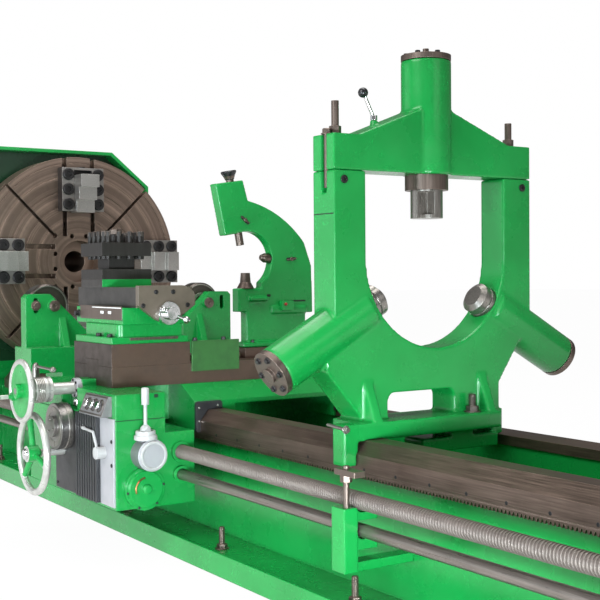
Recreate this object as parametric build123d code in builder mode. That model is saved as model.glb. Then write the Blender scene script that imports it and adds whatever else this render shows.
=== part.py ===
"""Heavy duty metal lathe with a four-jaw faceplate, carriage, steady rests and tailstock.

Millimetres. X runs along the bed from the headstock to the tailstock, the operator stands at -Y,
and +Z is up. The origin is on the floor, under the spindle axis, at the faceplate's front face.
"""
import os
from math import cos, pi, radians, sin

from build123d import *

# Clearances
GAP = 0.4
FIT = 0.05

# Directions
ALONG = (1, 0, 0)
BACK_ALONG = (-1, 0, 0)
ACROSS = (0, 1, 0)
TO_OPERATOR = (0, -1, 0)
UP = (0, 0, 1)

# Heights above the floor
SPINDLE_Z = 1200
WAY_TOP = 550
REAR_WAY_TOP = 510
SCREW_Z = 410
ROD_Z = 320

# Bed
BED_X = (-1800, 5950)
PLINTH_HALF = 615
PLINTH_H = 60
LIP_T = 15
LIP_H = 25
FRONT_WALL = (-375, -255)
REAR_WALL = (300, 405)
FRONT_SEAT = 452
REAR_SEAT = 474
CHANNEL_Z = 200
PEDESTAL_X1 = -320
PEDESTAL_HALF = 520
PEDESTAL_TOP = 500
ANCHOR_X0 = -1600
ANCHOR_STEP = 867
ANCHOR_COUNT = 9
ANCHOR_Y = 560
ANCHOR_R = 16
RIB_STEP = 900

# Slideways and rack
WAY_X = (-180, 5930)
FRONT_WAY = [(-250, FRONT_SEAT), (-250, 505), (-295, WAY_TOP), (-371, WAY_TOP), (-410, 506),
             (-410, FRONT_SEAT)]
REAR_WAY_Y = (285, 415)
RACK_X0 = -100
RACK_TEETH = 374
RACK_PITCH = 5 * pi
RACK_Y = (-408, -376)
RACK_ROOT = 439
RACK_TIP = 428

# Lead screw and feed rod
SCREW_Y = -572
SCREW_R = 28
ROD_R = 21
JOURNAL_R = 18
ROD_JOURNAL_R = 17
SHAFT_X = (-330, 5845)
SHAFT_ENDS = (-440, 5935)
KEYWAY_W = 9
KEYWAY_D = 4

# Headstock
HEAD_X = (-1700, -300)
HEAD_WALL = 60
HEAD_OUTLINE = [(-520, PEDESTAL_TOP), (538, PEDESTAL_TOP), (538, 1674), (301, 1870), (-490, 1870),
                (-580, 1780), (-580, 760), (-520, 720)]
HEAD_INSIDE = [(-480, 560), (498, 560), (498, 1655), (287, 1871), (-473, 1871), (-540, 1765), (-540, 780),
               (-480, 740)]
COVER_X = (-1715, -205)
COVER_OUTSIDE = [(558, 1640), (558, 1683), (309, 1890), (-500, 1890), (-600, 1790), (-600, 1610)]
COVER_INSIDE = [(-580, 1610), (-580, 1780), (-490, 1870), (301, 1870), (538, 1674), (538, 1640)]

# Spindle and faceplate
SPINDLE_R = 140
SPINDLE_BORE = 65
SPINDLE_X = (-1745, -80)
NOSE_R = 290
NOSE_X = (-262, -190)
PLATE_R = 625
PLATE_X0 = -190
PLATE_BORE = 125
PLATE_TURN = 90
JAW_SLOT_OFFSET = 88
JAW_SLOT = {"start": 150, "width": 28, "under": 48}
DIAGONAL_SLOT = {"start": 215, "width": 18, "under": 38}
SLOT_D = 42
SLOT_T_D = 24
DIAGONAL_END_R = 15
HUB_HOLES_R = 158
HUB_HOLE_ANGLE = 16.5
HUB_HOLE_R = 14
HUB_HOLE_D = 60

# Faceplate jaws
JAW_BOX_INNER = (298, 363, 330, 363)
JAW_BOX_LENGTH = 258
JAW_BOX_W = 262
JAW_BOX_H = 70
JAW_W = 112
JAW_REACH = (-8, 212)
JAW_FLOOR = 14
JAW_STEPS = 3
JAW_STEP_H = 38

# Open roller rest between faceplate and carriage
REST_X = (590, 830)
REST_PLATE_X = (690, 760)
REST_TOP = 741
REST_HALF = 608
REST_BODY_HALF = 440
REST_WING_TOP = 1018
ROLLER_Y = 458
ROLLER_Z = 955
ROLLER_R = 114
ROLLER_X = (594, 684)
ROLLER_PIN_R = 30

# Saddle and cross way
SADDLE_X = (1480, 2420)
SADDLE_TOP = 649
SADDLE_FRONT = -846
SADDLE_REAR = 470
APRON_TOP = 548
CROSS_X = (1750, 2150)
CROSS_MID = 1950
CROSS_WAY_Y = (-741, 440)
CROSS_WAY_TOP = 733
GUIDE_HALF = 70
GUIDE_H = 25
GUIDE_END = -60
PAD_X = (1880, 2030)
PAD_Y = (-40, 400)
PAD_TOP = 777
CROSS_SCREW_Z = 641
CROSS_SCREW_R = 18
CROSS_TUNNEL_R = 26

# Apron
APRON_BACK = -508
APRON_BOTTOM = 203
APRON_WALL = 25
APRON_HOLE_CLEAR = 5
PANEL_X = (2059, 2283)
PANEL_Z = (215, 556)
PANEL_RIBS = 9
STRIP_X = (2287, 2414)

# Handwheels
CROSS_WHEEL_Y = -1051
CROSS_WHEEL_R = 131
TRAVERSE_X = 1900
TRAVERSE_Z = 373
TRAVERSE_WHEEL_Y = -986
TRAVERSE_WHEEL_R = 174
DIAL_X = 1940
DIAL_Z = 484
DIAL_R = 96

# Cross slide, compound and tool post
CROSS_SLIDE_Y = (-741, -382)
CROSS_SLIDE_TOP = 826
SWIVEL_XY = (1930, -540)
SWIVEL_Z = 906
SWIVEL_TOP = 975
TOP_SLIDE_X = (1580, 2190)
TOP_SLIDE_Y = (-650, -390)
TOP_SLIDE_TOP = 1060
POST_PAD_TOP = 1094
HANDLE_YZ = (-522, 952)
POST_XY = (1783, -555)
POST_W = 232
POST_CORE_W = 120
POST_BASE_TOP = 1137
POST_PLATE = (1195, 1252)

# Follow rest on the rear of the cross way
FOLLOW_X = (1910, 1966)
FOLLOW_MID = 1938
FOLLOW_PIN_R = 18
FOLLOW_SIDE_R = 22
FOLLOW_TOP_ANGLE = 100
FOLLOW_SIDE_ANGLE = -6
FOLLOW_LOW_Y = 18
FOLLOW_LOW_Z = (946, 1060)

# Steady rest
STEADY_X = (3199, 3325)
STEADY_MID = 3262
STEADY_BASE_X = (3199, 3392)
STEADY_HALF = 450
STEADY_OPEN = 317
STEADY_ARC_Z = 1160
STEADY_SPLIT = 1459
STEADY_SHOULDER = 1581
STEADY_TOP = 1868
STEADY_BOSS_R = 90
STEADY_CENTRE_Z = 1145
STEADY_ARM_ANGLE = 29
STEADY_ARM_R = 82
STEADY_ARM_END = 738
TOP_PLUNGER_R = 58
ARM_PLUNGER_R = 58
STUD_Y = 400

# Tailstock
TAIL_X = (4800, 5680)
TAIL_BASE_TOP = 700
BARREL_R = 190
BARREL_X = (4770, 5650)
QUILL_R = 110
QUILL_X = (4660, 5480)
TAIL_WHEEL_X = 5740
TAIL_WHEEL_R = 200


def block(x, y, z, plane=Plane.XY, mode=Mode.ADD):
    """Box between low and high limits along the plane's own axes."""
    middle = plane.from_local_coords(((x[0] + x[1]) / 2, (y[0] + y[1]) / 2, (z[0] + z[1]) / 2))
    with Locations(Plane(middle, x_dir=plane.x_dir, z_dir=plane.z_dir)):
        Box(x[1] - x[0], y[1] - y[0], z[1] - z[0], mode=mode)


def bar(start, axis, radius, length, mode=Mode.ADD):
    """Cylinder that grows from a start point along an axis."""
    with Locations(Plane(start, z_dir=axis)):
        Cylinder(radius, length, align=(Align.CENTER, Align.CENTER, Align.MIN), mode=mode)


def taper(start, axis, radius, end_radius, length):
    """Cone that grows from a start point along an axis."""
    with Locations(Plane(start, z_dir=axis)):
        Cone(radius, end_radius, length, align=(Align.CENTER, Align.CENTER, Align.MIN))


def ball(centre, radius):
    """Sphere about a point."""
    with Locations(centre):
        Sphere(radius)


def prism(plane, points, amount, mode=Mode.ADD):
    """Closed outline on a plane, pushed along the plane's normal."""
    with BuildSketch(plane) as outline:
        with BuildLine():
            Polyline(*points, close=True)
        make_face()
    extrude(outline.sketch, amount=amount, mode=mode)


def along_x(points, x, mode=Mode.ADD):
    """Outline in Y and Z, pushed from the low to the high X."""
    prism(Plane.YZ.offset(x[0]), points, x[1] - x[0], mode)


def radial_plane(angle, x=0):
    """Plane on the spindle axis: local x points outwards, local z along the bed."""
    outwards = (0, cos(radians(angle)), sin(radians(angle)))
    return Plane((x, 0, SPINDLE_Z), x_dir=outwards, z_dir=(1, 0, 0))


def on_radius(angle, radius, x):
    """Point at a radius from the spindle axis."""
    return (x, radius * cos(radians(angle)), SPINDLE_Z + radius * sin(radians(angle)))


def outward(angle):
    """Direction away from the spindle axis."""
    return (0, cos(radians(angle)), sin(radians(angle)))


def on_arm(angle, radius):
    """Point at a radius from the work centre of the steady rest."""
    return (STEADY_MID, radius * cos(radians(angle)), STEADY_CENTRE_Z + radius * sin(radians(angle)))


def clear_ways(x):
    """Room for both slideways, cut from the underside of what slides on them."""
    inner = FRONT_WAY[0][0] + 2
    outer = FRONT_WAY[-1][0] - GAP
    under = FRONT_SEAT - 30
    front = [(inner, under), (inner, 505 + 2), (-295 + GAP, WAY_TOP + GAP), (-371 - GAP, WAY_TOP + GAP),
             (outer, 506 + GAP), (outer, under)]
    rear = (REAR_WAY_Y[0] - 2, REAR_WAY_Y[1] + 2)
    along_x(front, x, Mode.SUBTRACT)
    block(x, rear, (under, REAR_WAY_TOP + GAP), mode=Mode.SUBTRACT)


def handwheel(centre, axis, radius, rim, hub, spokes, first_angle):
    """Round rim on spokes and a hub, square to an axis."""
    plane = Plane(centre, z_dir=axis)
    with Locations(plane):
        Torus(radius - rim, rim)
    bar(plane.from_local_coords((0, 0, -hub / 2)), axis, hub, 1.4 * hub)
    reach = radius - rim
    for turn in range(spokes):
        angle = radians(first_angle + 360 * turn / spokes)
        direction = plane.x_dir * cos(angle) + plane.y_dir * sin(angle)
        bar(centre, direction, 0.85 * rim, reach)


def save(builder, label):
    """Label a finished piece and write it."""
    builder.part.label = label
    export_step(builder.part, f"parts/{label}.step")


os.makedirs("parts", exist_ok=True)

# Bed casting with its plinth, headstock pedestal, cross ribs and anchor holes
BED_OUTLINE = [(-PLINTH_HALF, 0), (PLINTH_HALF, 0), (PLINTH_HALF, PLINTH_H), (REAR_WALL[1], PLINTH_H),
               (REAR_WALL[1], REAR_SEAT), (REAR_WALL[0], REAR_SEAT), (REAR_WALL[0], CHANNEL_Z),
               (FRONT_WALL[1], CHANNEL_Z), (FRONT_WALL[1], FRONT_SEAT), (FRONT_WALL[0], FRONT_SEAT),
               (FRONT_WALL[0], PLINTH_H), (LIP_T - PLINTH_HALF, PLINTH_H),
               (LIP_T - PLINTH_HALF, PLINTH_H + LIP_H), (-PLINTH_HALF, PLINTH_H + LIP_H)]
RIB_T = 60
RIB_TOP = 380
with BuildPart() as bed:
    along_x(BED_OUTLINE, BED_X)
    block((BED_X[0], PEDESTAL_X1), (-PEDESTAL_HALF, PEDESTAL_HALF), (PLINTH_H, PEDESTAL_TOP))
    rib_x = RIB_STEP / 2
    while rib_x < BED_X[1]:
        block((rib_x, rib_x + RIB_T), (FRONT_WALL[1], REAR_WALL[0]), (CHANNEL_Z, RIB_TOP))
        rib_x += RIB_STEP
    for column in range(ANCHOR_COUNT):
        for side in (-ANCHOR_Y, ANCHOR_Y):
            hole_x = ANCHOR_X0 + column * ANCHOR_STEP
            bar((hole_x, side, 0), UP, ANCHOR_R, PLINTH_H, Mode.SUBTRACT)
save(bed, "bed")

# Hardened slideways: the raised one at the front, the flat one at the rear
with BuildPart() as slideways:
    along_x(FRONT_WAY, WAY_X)
    block(WAY_X, REAR_WAY_Y, (REAR_SEAT, REAR_WAY_TOP))
save(slideways, "slideways")

# Rack under the front slideway, teeth down
rack_points = [(RACK_X0, FRONT_SEAT), (RACK_X0, RACK_ROOT)]
for tooth in range(RACK_TEETH):
    tooth_x = RACK_X0 + tooth * RACK_PITCH
    rack_points += [(tooth_x + 0.12 * RACK_PITCH, RACK_ROOT), (tooth_x + 0.37 * RACK_PITCH, RACK_TIP),
                    (tooth_x + 0.63 * RACK_PITCH, RACK_TIP), (tooth_x + 0.88 * RACK_PITCH, RACK_ROOT)]
rack_end = RACK_X0 + RACK_TEETH * RACK_PITCH
rack_points += [(rack_end, RACK_ROOT), (rack_end, FRONT_SEAT)]
with BuildPart() as rack:
    prism(Plane.XZ.offset(-RACK_Y[1]), rack_points, RACK_Y[1] - RACK_Y[0])
save(rack, "rack")

# Lead screw and feed rod
with BuildPart() as lead_screw:
    bar((SHAFT_X[0], SCREW_Y, SCREW_Z), ALONG, SCREW_R, SHAFT_X[1] - SHAFT_X[0])
    bar((SHAFT_ENDS[0], SCREW_Y, SCREW_Z), ALONG, JOURNAL_R, SHAFT_ENDS[1] - SHAFT_ENDS[0])
save(lead_screw, "lead_screw")

with BuildPart() as feed_rod:
    bar((SHAFT_X[0], SCREW_Y, ROD_Z), ALONG, ROD_R, SHAFT_X[1] - SHAFT_X[0])
    block(SHAFT_X, (SCREW_Y - KEYWAY_W / 2, SCREW_Y + KEYWAY_W / 2),
          (ROD_Z + ROD_R - KEYWAY_D, ROD_Z + ROD_R + 1), mode=Mode.SUBTRACT)
    bar((SHAFT_ENDS[0], SCREW_Y, ROD_Z), ALONG, ROD_JOURNAL_R, SHAFT_ENDS[1] - SHAFT_ENDS[0])
save(feed_rod, "feed_rod")

# Bracket that carries the shafts at the tail end of the bed
BRACKET_X = (5850, 5930)
BRACKET_FRONT = -635
BRACKET_OUTLINE = [(FRONT_WALL[0], 250), (FRONT_WALL[0], 445), (-520, 470), (BRACKET_FRONT, 450),
                   (BRACKET_FRONT, 270)]
with BuildPart() as tail_bracket:
    along_x(BRACKET_OUTLINE, BRACKET_X)
    for shaft_z, journal in ((SCREW_Z, JOURNAL_R), (ROD_Z, ROD_JOURNAL_R)):
        bore_length = BRACKET_X[1] - BRACKET_X[0]
        bar((BRACKET_X[0], SCREW_Y, shaft_z), ALONG, journal + FIT, bore_length, Mode.SUBTRACT)
save(tail_bracket, "tail_bracket")

# Bracket half way along: a post in front of the long shafts, a prong under each, and an arm to the bed
SUPPORT_X = (3583, 3650)
SUPPORT_Y = (-648, -597)
SUPPORT_Z = (197, 394)
SUPPORT_ARM_TOP = 225
PRONG_X = (3590, 3643)
PRONG_END = -518
SCREW_PRONG_Z = (352, 398)
ROD_PRONG_Z = (262, 308)
PRONG_CLEAR = 6
with BuildPart() as screw_support:
    block(SUPPORT_X, SUPPORT_Y, SUPPORT_Z)
    for prong_z in (SCREW_PRONG_Z, ROD_PRONG_Z):
        block(PRONG_X, (SUPPORT_Y[1] - 1, PRONG_END), prong_z)
    block(PRONG_X, (SUPPORT_Y[1] - 1, FRONT_WALL[0]), (SUPPORT_Z[0], SUPPORT_ARM_TOP))
    for shaft_z, radius in ((SCREW_Z, SCREW_R), (ROD_Z, ROD_R)):
        groove_length = SUPPORT_X[1] - SUPPORT_X[0] + 2
        groove = (SUPPORT_X[0] - 1, SCREW_Y, shaft_z)
        bar(groove, ALONG, radius + PRONG_CLEAR, groove_length, Mode.SUBTRACT)
save(screw_support, "screw_support")

# Stud, nut and keeper plate over the lead screw
STUD_XY = (3625, -622)
STUD_R = 10
STUD_TOP = 522
STUD_NUT_R = 19
STUD_NUT_H = 22
KEEPER_X = (3590, 3696)
KEEPER_Y = (-642, -602)
KEEPER_Z = (494, 512)
with BuildPart() as support_stud:
    bar((*STUD_XY, SUPPORT_Z[1]), UP, STUD_R, STUD_TOP - SUPPORT_Z[1])
    with BuildSketch(Plane.XY.offset(KEEPER_Z[0] - STUD_NUT_H)):
        with Locations(STUD_XY):
            RegularPolygon(STUD_NUT_R, 6)
    extrude(amount=STUD_NUT_H)
    block(KEEPER_X, KEEPER_Y, KEEPER_Z)
save(support_stud, "support_stud")

# Headstock casting, open at the top
with BuildPart() as headstock:
    along_x(HEAD_OUTLINE, HEAD_X)
    along_x(HEAD_INSIDE, (HEAD_X[0] + HEAD_WALL, HEAD_X[1] - HEAD_WALL), Mode.SUBTRACT)
    bore_length = HEAD_X[1] - HEAD_X[0] + 2
    bar((HEAD_X[0] - 1, 0, SPINDLE_Z), ALONG, SPINDLE_R + FIT, bore_length, Mode.SUBTRACT)
save(headstock, "headstock")

# Bent sheet cover over the headstock, reaching out over the faceplate's back
with BuildPart() as headstock_cover:
    along_x(COVER_OUTSIDE + COVER_INSIDE, COVER_X)
save(headstock_cover, "headstock_cover")

# Feed gearbox that drives the lead screw and the feed rod
FEED_BOX_X = (-1050, -345)
FEED_BOX_Z = (230, 640)
FEED_BOX_FRONT = -715
SOCKET_D = 105
with BuildPart() as feed_box:
    block(FEED_BOX_X, (FEED_BOX_FRONT, -PEDESTAL_HALF), FEED_BOX_Z)
    for shaft_z, journal in ((SCREW_Z, JOURNAL_R), (ROD_Z, ROD_JOURNAL_R)):
        socket = (FEED_BOX_X[1] - SOCKET_D, SCREW_Y, shaft_z)
        bar(socket, ALONG, journal + FIT, SOCKET_D + 1, Mode.SUBTRACT)
save(feed_box, "feed_box")

# Main motor on a shelf behind the headstock, and the guard over its belt
MOTOR_YZ = (740, 610)
MOTOR_R = 175
MOTOR_X = (-1560, -1020)
MOTOR_SHAFT = (28, 180)
MOTOR_FIN_COUNT = 12
MOTOR_FIN_X = (MOTOR_X[0] + 60, MOTOR_X[1] - 90)
MOTOR_FIN_H = 16
MOTOR_FIN_HALF = 5
SHELF_X = (MOTOR_X[0] + 80, MOTOR_X[1] - 80)
SHELF_END = MOTOR_YZ[0] + 130
SHELF_Z = (400, 445)
GUARD_X = (-1840, -1700)
with BuildPart() as motor:
    bar((MOTOR_X[0], *MOTOR_YZ), ALONG, MOTOR_R, MOTOR_X[1] - MOTOR_X[0])
    bar((MOTOR_X[0], *MOTOR_YZ), BACK_ALONG, *MOTOR_SHAFT)
    for fin in range(MOTOR_FIN_COUNT):
        fin_plane = Plane((0, *MOTOR_YZ), x_dir=outward(360 * fin / MOTOR_FIN_COUNT), z_dir=(1, 0, 0))
        fin_reach = (MOTOR_R - MOTOR_FIN_HALF, MOTOR_R + MOTOR_FIN_H)
        block(fin_reach, (-MOTOR_FIN_HALF, MOTOR_FIN_HALF), MOTOR_FIN_X, fin_plane)
    block(SHELF_X, (PEDESTAL_HALF, SHELF_END), SHELF_Z)
save(motor, "motor")

GUARD_OUTLINE = [(-260, 502), (522, 502), (522, 395), (945, 395), (945, 820), (200, 1480), (-260, 1480)]
GUARD_INSIDE = [(-240, 522), (542, 522), (542, 415), (925, 415), (925, 811), (192, 1460), (-240, 1460)]
GUARD_EYE_R = 160
with BuildPart() as belt_guard:
    along_x(GUARD_OUTLINE, GUARD_X)
    along_x(GUARD_INSIDE, (GUARD_X[0] + 20, GUARD_X[1]), Mode.SUBTRACT)
    bar((GUARD_X[0] - 1, 0, SPINDLE_Z), ALONG, GUARD_EYE_R, 30, Mode.SUBTRACT)
save(belt_guard, "belt_guard")

# Hollow spindle with its nose flange and the spigot that centres the faceplate
with BuildPart() as spindle:
    bar((SPINDLE_X[0], 0, SPINDLE_Z), ALONG, SPINDLE_R, NOSE_X[0] - SPINDLE_X[0])
    bar((NOSE_X[0], 0, SPINDLE_Z), ALONG, NOSE_R, NOSE_X[1] - NOSE_X[0])
    bar((NOSE_X[0], 0, SPINDLE_Z), ALONG, PLATE_BORE - FIT, SPINDLE_X[1] - NOSE_X[0])
    bar((SPINDLE_X[0], 0, SPINDLE_Z), ALONG, SPINDLE_BORE, SPINDLE_X[1] - SPINDLE_X[0], Mode.SUBTRACT)
save(spindle, "spindle")


def tee_slot(plane, offset, slot):
    """Radial slot in the faceplate, wider at its bottom, open at the rim."""
    reach = (slot["start"], PLATE_R + 5)
    narrow = (offset - slot["width"] / 2, offset + slot["width"] / 2)
    wide = (offset - slot["under"] / 2, offset + slot["under"] / 2)
    block(reach, narrow, (-SLOT_D, 1), plane, Mode.SUBTRACT)
    block(reach, wide, (-SLOT_D - SLOT_T_D, -SLOT_D), plane, Mode.SUBTRACT)


# Faceplate: turned grooves, paired slots under each jaw box, four diagonal slots and threaded hub holes
GROOVE_RADII = (258, 345, 430, 515, 590)
GROOVE_W = 5
GROOVE_D = 4
with BuildPart() as faceplate:
    bar((PLATE_X0, 0, SPINDLE_Z), ALONG, PLATE_R, -PLATE_X0)
    bar((PLATE_X0, 0, SPINDLE_Z), ALONG, PLATE_BORE, -PLATE_X0, Mode.SUBTRACT)
    for groove in GROOVE_RADII:
        with BuildSketch(radial_plane(0, -GROOVE_D)):
            Circle(groove + GROOVE_W / 2)
            Circle(groove - GROOVE_W / 2, mode=Mode.SUBTRACT)
        extrude(amount=GROOVE_D + 1, mode=Mode.SUBTRACT)
    for quarter in range(4):
        jaw_angle = PLATE_TURN + 90 * quarter
        diagonal = jaw_angle + 45
        for offset in (-JAW_SLOT_OFFSET, JAW_SLOT_OFFSET):
            tee_slot(radial_plane(jaw_angle), offset, JAW_SLOT)
        tee_slot(radial_plane(diagonal), 0, DIAGONAL_SLOT)
        slot_end = on_radius(diagonal, DIAGONAL_SLOT["start"], -SLOT_D)
        bar(slot_end, ALONG, DIAGONAL_END_R, SLOT_D + 1, Mode.SUBTRACT)
        for turn in (-HUB_HOLE_ANGLE, HUB_HOLE_ANGLE):
            hole = on_radius(jaw_angle + turn, HUB_HOLES_R, -HUB_HOLE_D)
            bar(hole, ALONG, HUB_HOLE_R, HUB_HOLE_D + 1, Mode.SUBTRACT)
save(faceplate, "faceplate")

# Boxes bolted to the faceplate, one round each jaw, set at their own radii
BOX_END_T = 14
with BuildPart() as jaw_boxes:
    for quarter, inner in enumerate(JAW_BOX_INNER):
        plane = radial_plane(PLATE_TURN + 90 * quarter)
        outer = inner + JAW_BOX_LENGTH
        half = JAW_W / 2 + GAP
        block((inner, outer), (-JAW_BOX_W / 2, JAW_BOX_W / 2), (0, JAW_BOX_H), plane)
        channel = (inner - 1, outer - BOX_END_T)
        block(channel, (-half, half), (JAW_FLOOR, JAW_BOX_H + 1), plane, Mode.SUBTRACT)
save(jaw_boxes, "jaw_boxes")

# Stepped jaws, each on its own radial slide
for quarter, inner in enumerate(JAW_BOX_INNER):
    plane = radial_plane(PLATE_TURN + 90 * quarter)
    with BuildPart() as jaw:
        start = inner + JAW_REACH[0]
        end = inner + JAW_REACH[1]
        step_length = (end - start) / JAW_STEPS
        block((start, end), (-JAW_W / 2, JAW_W / 2), (JAW_FLOOR + GAP, JAW_BOX_H), plane)
        for step in range(JAW_STEPS):
            rise = (JAW_BOX_H, JAW_BOX_H + (step + 1) * JAW_STEP_H)
            block((start + step * step_length, end), (-JAW_W / 2, JAW_W / 2), rise, plane)
    save(jaw, f"jaw_{quarter + 1}")

# Open roller rest: a vee of two wings on a bridge over the slideways
REST_CORNER = 18
REST_VEE = [(-REST_HALF, REST_TOP), (-REST_HALF, REST_WING_TOP - REST_CORNER),
            (REST_CORNER - REST_HALF, REST_WING_TOP), (-475, REST_WING_TOP), (-205, 752), (205, 752),
            (475, REST_WING_TOP), (REST_HALF - REST_CORNER, REST_WING_TOP),
            (REST_HALF, REST_WING_TOP - REST_CORNER), (REST_HALF, REST_TOP)]
REST_GUSSET_TOP = 895
REST_GUSSET_Y = (390, 425)
REST_LOW = 485
REST_WING_LOW = 610
REST_PIN_LENGTH = 186
REST_WASHER = (44, 18)
REST_EYE_YZ = (552, 958)
REST_EYE = (80, 26)
ROLLER_CHAMFER = 6
with BuildPart() as roller_rest:
    block(REST_X, (-REST_BODY_HALF, REST_BODY_HALF), (REST_LOW, REST_TOP))
    block(REST_X, (-REST_HALF, REST_HALF), (REST_WING_LOW, REST_TOP))
    clear_ways(REST_X)
    along_x(REST_VEE, REST_PLATE_X)
    for side in (-1, 1):
        gusset_y = sorted((side * REST_GUSSET_Y[0], side * REST_GUSSET_Y[1]))
        prism(Plane.XZ.offset(-gusset_y[1]), [(REST_PLATE_X[1], REST_TOP), (REST_X[1] - 8, REST_TOP),
              (REST_PLATE_X[1], REST_GUSSET_TOP)], gusset_y[1] - gusset_y[0])
        washer_end = (ROLLER_X[0] - 10 * GAP, side * ROLLER_Y, ROLLER_Z)
        bar(washer_end, ALONG, ROLLER_PIN_R, REST_PIN_LENGTH)
        bar(washer_end, BACK_ALONG, *REST_WASHER)
        with BuildSketch(Plane.YZ.offset(REST_PLATE_X[0])):
            with Locations((side * REST_EYE_YZ[0], REST_EYE_YZ[1])):
                SlotOverall(*REST_EYE, rotation=90)
        extrude(amount=REST_PLATE_X[1] - REST_PLATE_X[0], mode=Mode.SUBTRACT)
save(roller_rest, "roller_rest")

for side, label in ((-1, "rest_roller_front"), (1, "rest_roller_rear")):
    with BuildPart() as roller:
        roller_end = (ROLLER_X[0], side * ROLLER_Y, ROLLER_Z)
        roller_length = ROLLER_X[1] - ROLLER_X[0]
        bar(roller_end, ALONG, ROLLER_R, roller_length)
        bar(roller_end, ALONG, ROLLER_PIN_R + FIT, roller_length, Mode.SUBTRACT)
        chamfer(roller.edges().filter_by(GeomType.CIRCLE).group_by(SortBy.RADIUS)[-1], ROLLER_CHAMFER)
    save(roller, label)

# Saddle on both slideways: recessed at the feed screw, its right wing short, sloped and skirted
SADDLE_OUTLINE = [(SADDLE_FRONT, SADDLE_TOP), (SADDLE_REAR, SADDLE_TOP), (SADDLE_REAR, 476), (272, 476),
                  (272, 566), (-236, 566), (-236, 490), (APRON_BACK, 490), (APRON_BACK, APRON_TOP),
                  (SADDLE_FRONT, APRON_TOP)]
SADDLE_BOSS_X = (1890, 1988)
SADDLE_BOSS_TOP = 677
RECESS_X = (1862, 2036)
RECESS_Y = -803
RECESS_LOW = 556
TUNNEL_END = -226
POCKET_X = 2040
POCKET_Y = (-636, -431)
WING_X1 = 2278
WING_SLOPE_X = 2160
WING_END_TOP = 585
SKIRT_Z = (467, 490)
with BuildPart() as saddle:
    along_x(SADDLE_OUTLINE, SADDLE_X)
    block(RECESS_X, (SADDLE_FRONT - 1, RECESS_Y), (RECESS_LOW, SADDLE_TOP + 1), mode=Mode.SUBTRACT)
    block(SADDLE_BOSS_X, (RECESS_Y, CROSS_WAY_Y[0]), (SADDLE_TOP, SADDLE_BOSS_TOP))
    over_rear = SADDLE_REAR + 1
    right = SADDLE_X[1] + 1
    block((WING_X1, right), (POCKET_Y[0], over_rear), (SKIRT_Z[0], SADDLE_TOP + 1), mode=Mode.SUBTRACT)
    block((POCKET_X, right), POCKET_Y, (SKIRT_Z[0], SADDLE_TOP + 1), mode=Mode.SUBTRACT)
    slope = [(WING_SLOPE_X, SADDLE_TOP), (WING_X1, WING_END_TOP), (right, WING_END_TOP), (right, SADDLE_TOP)]
    prism(Plane.XZ.offset(-over_rear), slope, over_rear - POCKET_Y[1], Mode.SUBTRACT)
    block((SADDLE_X[0], WING_X1), (POCKET_Y[1], FRONT_WAY[-1][0]), SKIRT_Z)
    clear_ways(SADDLE_X)
    tunnel = (CROSS_MID, SADDLE_FRONT - 1, CROSS_SCREW_Z)
    bar(tunnel, ACROSS, CROSS_TUNNEL_R, TUNNEL_END - SADDLE_FRONT, Mode.SUBTRACT)
save(saddle, "saddle")

# Machined cross way on the saddle, with a raised guide, the follow rest's pad and a cover plate at its side
SIDE_COVER_X = (2151, 2160)
SIDE_COVER_Y = (-377, -147)
SIDE_COVER_Z = (700, 830)
guide_x = (CROSS_MID - GUIDE_HALF, CROSS_MID + GUIDE_HALF)
with BuildPart() as cross_way:
    block(CROSS_X, CROSS_WAY_Y, (SADDLE_TOP, CROSS_WAY_TOP))
    block(guide_x, (CROSS_WAY_Y[0], GUIDE_END), (CROSS_WAY_TOP, CROSS_WAY_TOP + GUIDE_H))
    block(PAD_X, PAD_Y, (CROSS_WAY_TOP, PAD_TOP))
    block(SIDE_COVER_X, SIDE_COVER_Y, SIDE_COVER_Z)
    block((CROSS_X[1] - 1, SIDE_COVER_X[1]), SIDE_COVER_Y, (SIDE_COVER_Z[0], CROSS_WAY_TOP))
    tunnel = (CROSS_MID, CROSS_WAY_Y[0] - 1, CROSS_SCREW_Z)
    bar(tunnel, ACROSS, CROSS_TUNNEL_R, TUNNEL_END - CROSS_WAY_Y[0], Mode.SUBTRACT)
save(cross_way, "cross_way")

# Felt wiper plates on the ends of the saddle, shaped to the slideways
WIPER_T = 12
WIPER_CORNER = 14
RIGHT_WIPER_Y = (POCKET_Y[1], -305)
RIGHT_WIPER_Z = (457, WING_END_TOP)
LEFT_WIPER_Y = (-506, -300)
LEFT_WIPER_Z = (486, 602)
REAR_WIPER_Y = (270, SADDLE_REAR)
REAR_WIPER_Z = (500, 560)
with BuildPart() as wipers:
    wiper_places = ((WING_X1, RIGHT_WIPER_Y, RIGHT_WIPER_Z),
                    (SADDLE_X[0] - WIPER_T, LEFT_WIPER_Y, LEFT_WIPER_Z))
    for start, wiper_y, wiper_z in wiper_places:
        wiper_x = (start, start + WIPER_T)
        with BuildSketch(Plane.YZ.offset(start)):
            with Locations((sum(wiper_y) / 2, sum(wiper_z) / 2)):
                RectangleRounded(wiper_y[1] - wiper_y[0], wiper_z[1] - wiper_z[0], WIPER_CORNER)
        extrude(amount=WIPER_T)
        block(wiper_x, REAR_WIPER_Y, REAR_WIPER_Z)
        clear_ways(wiper_x)
save(wipers, "wipers")

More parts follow.
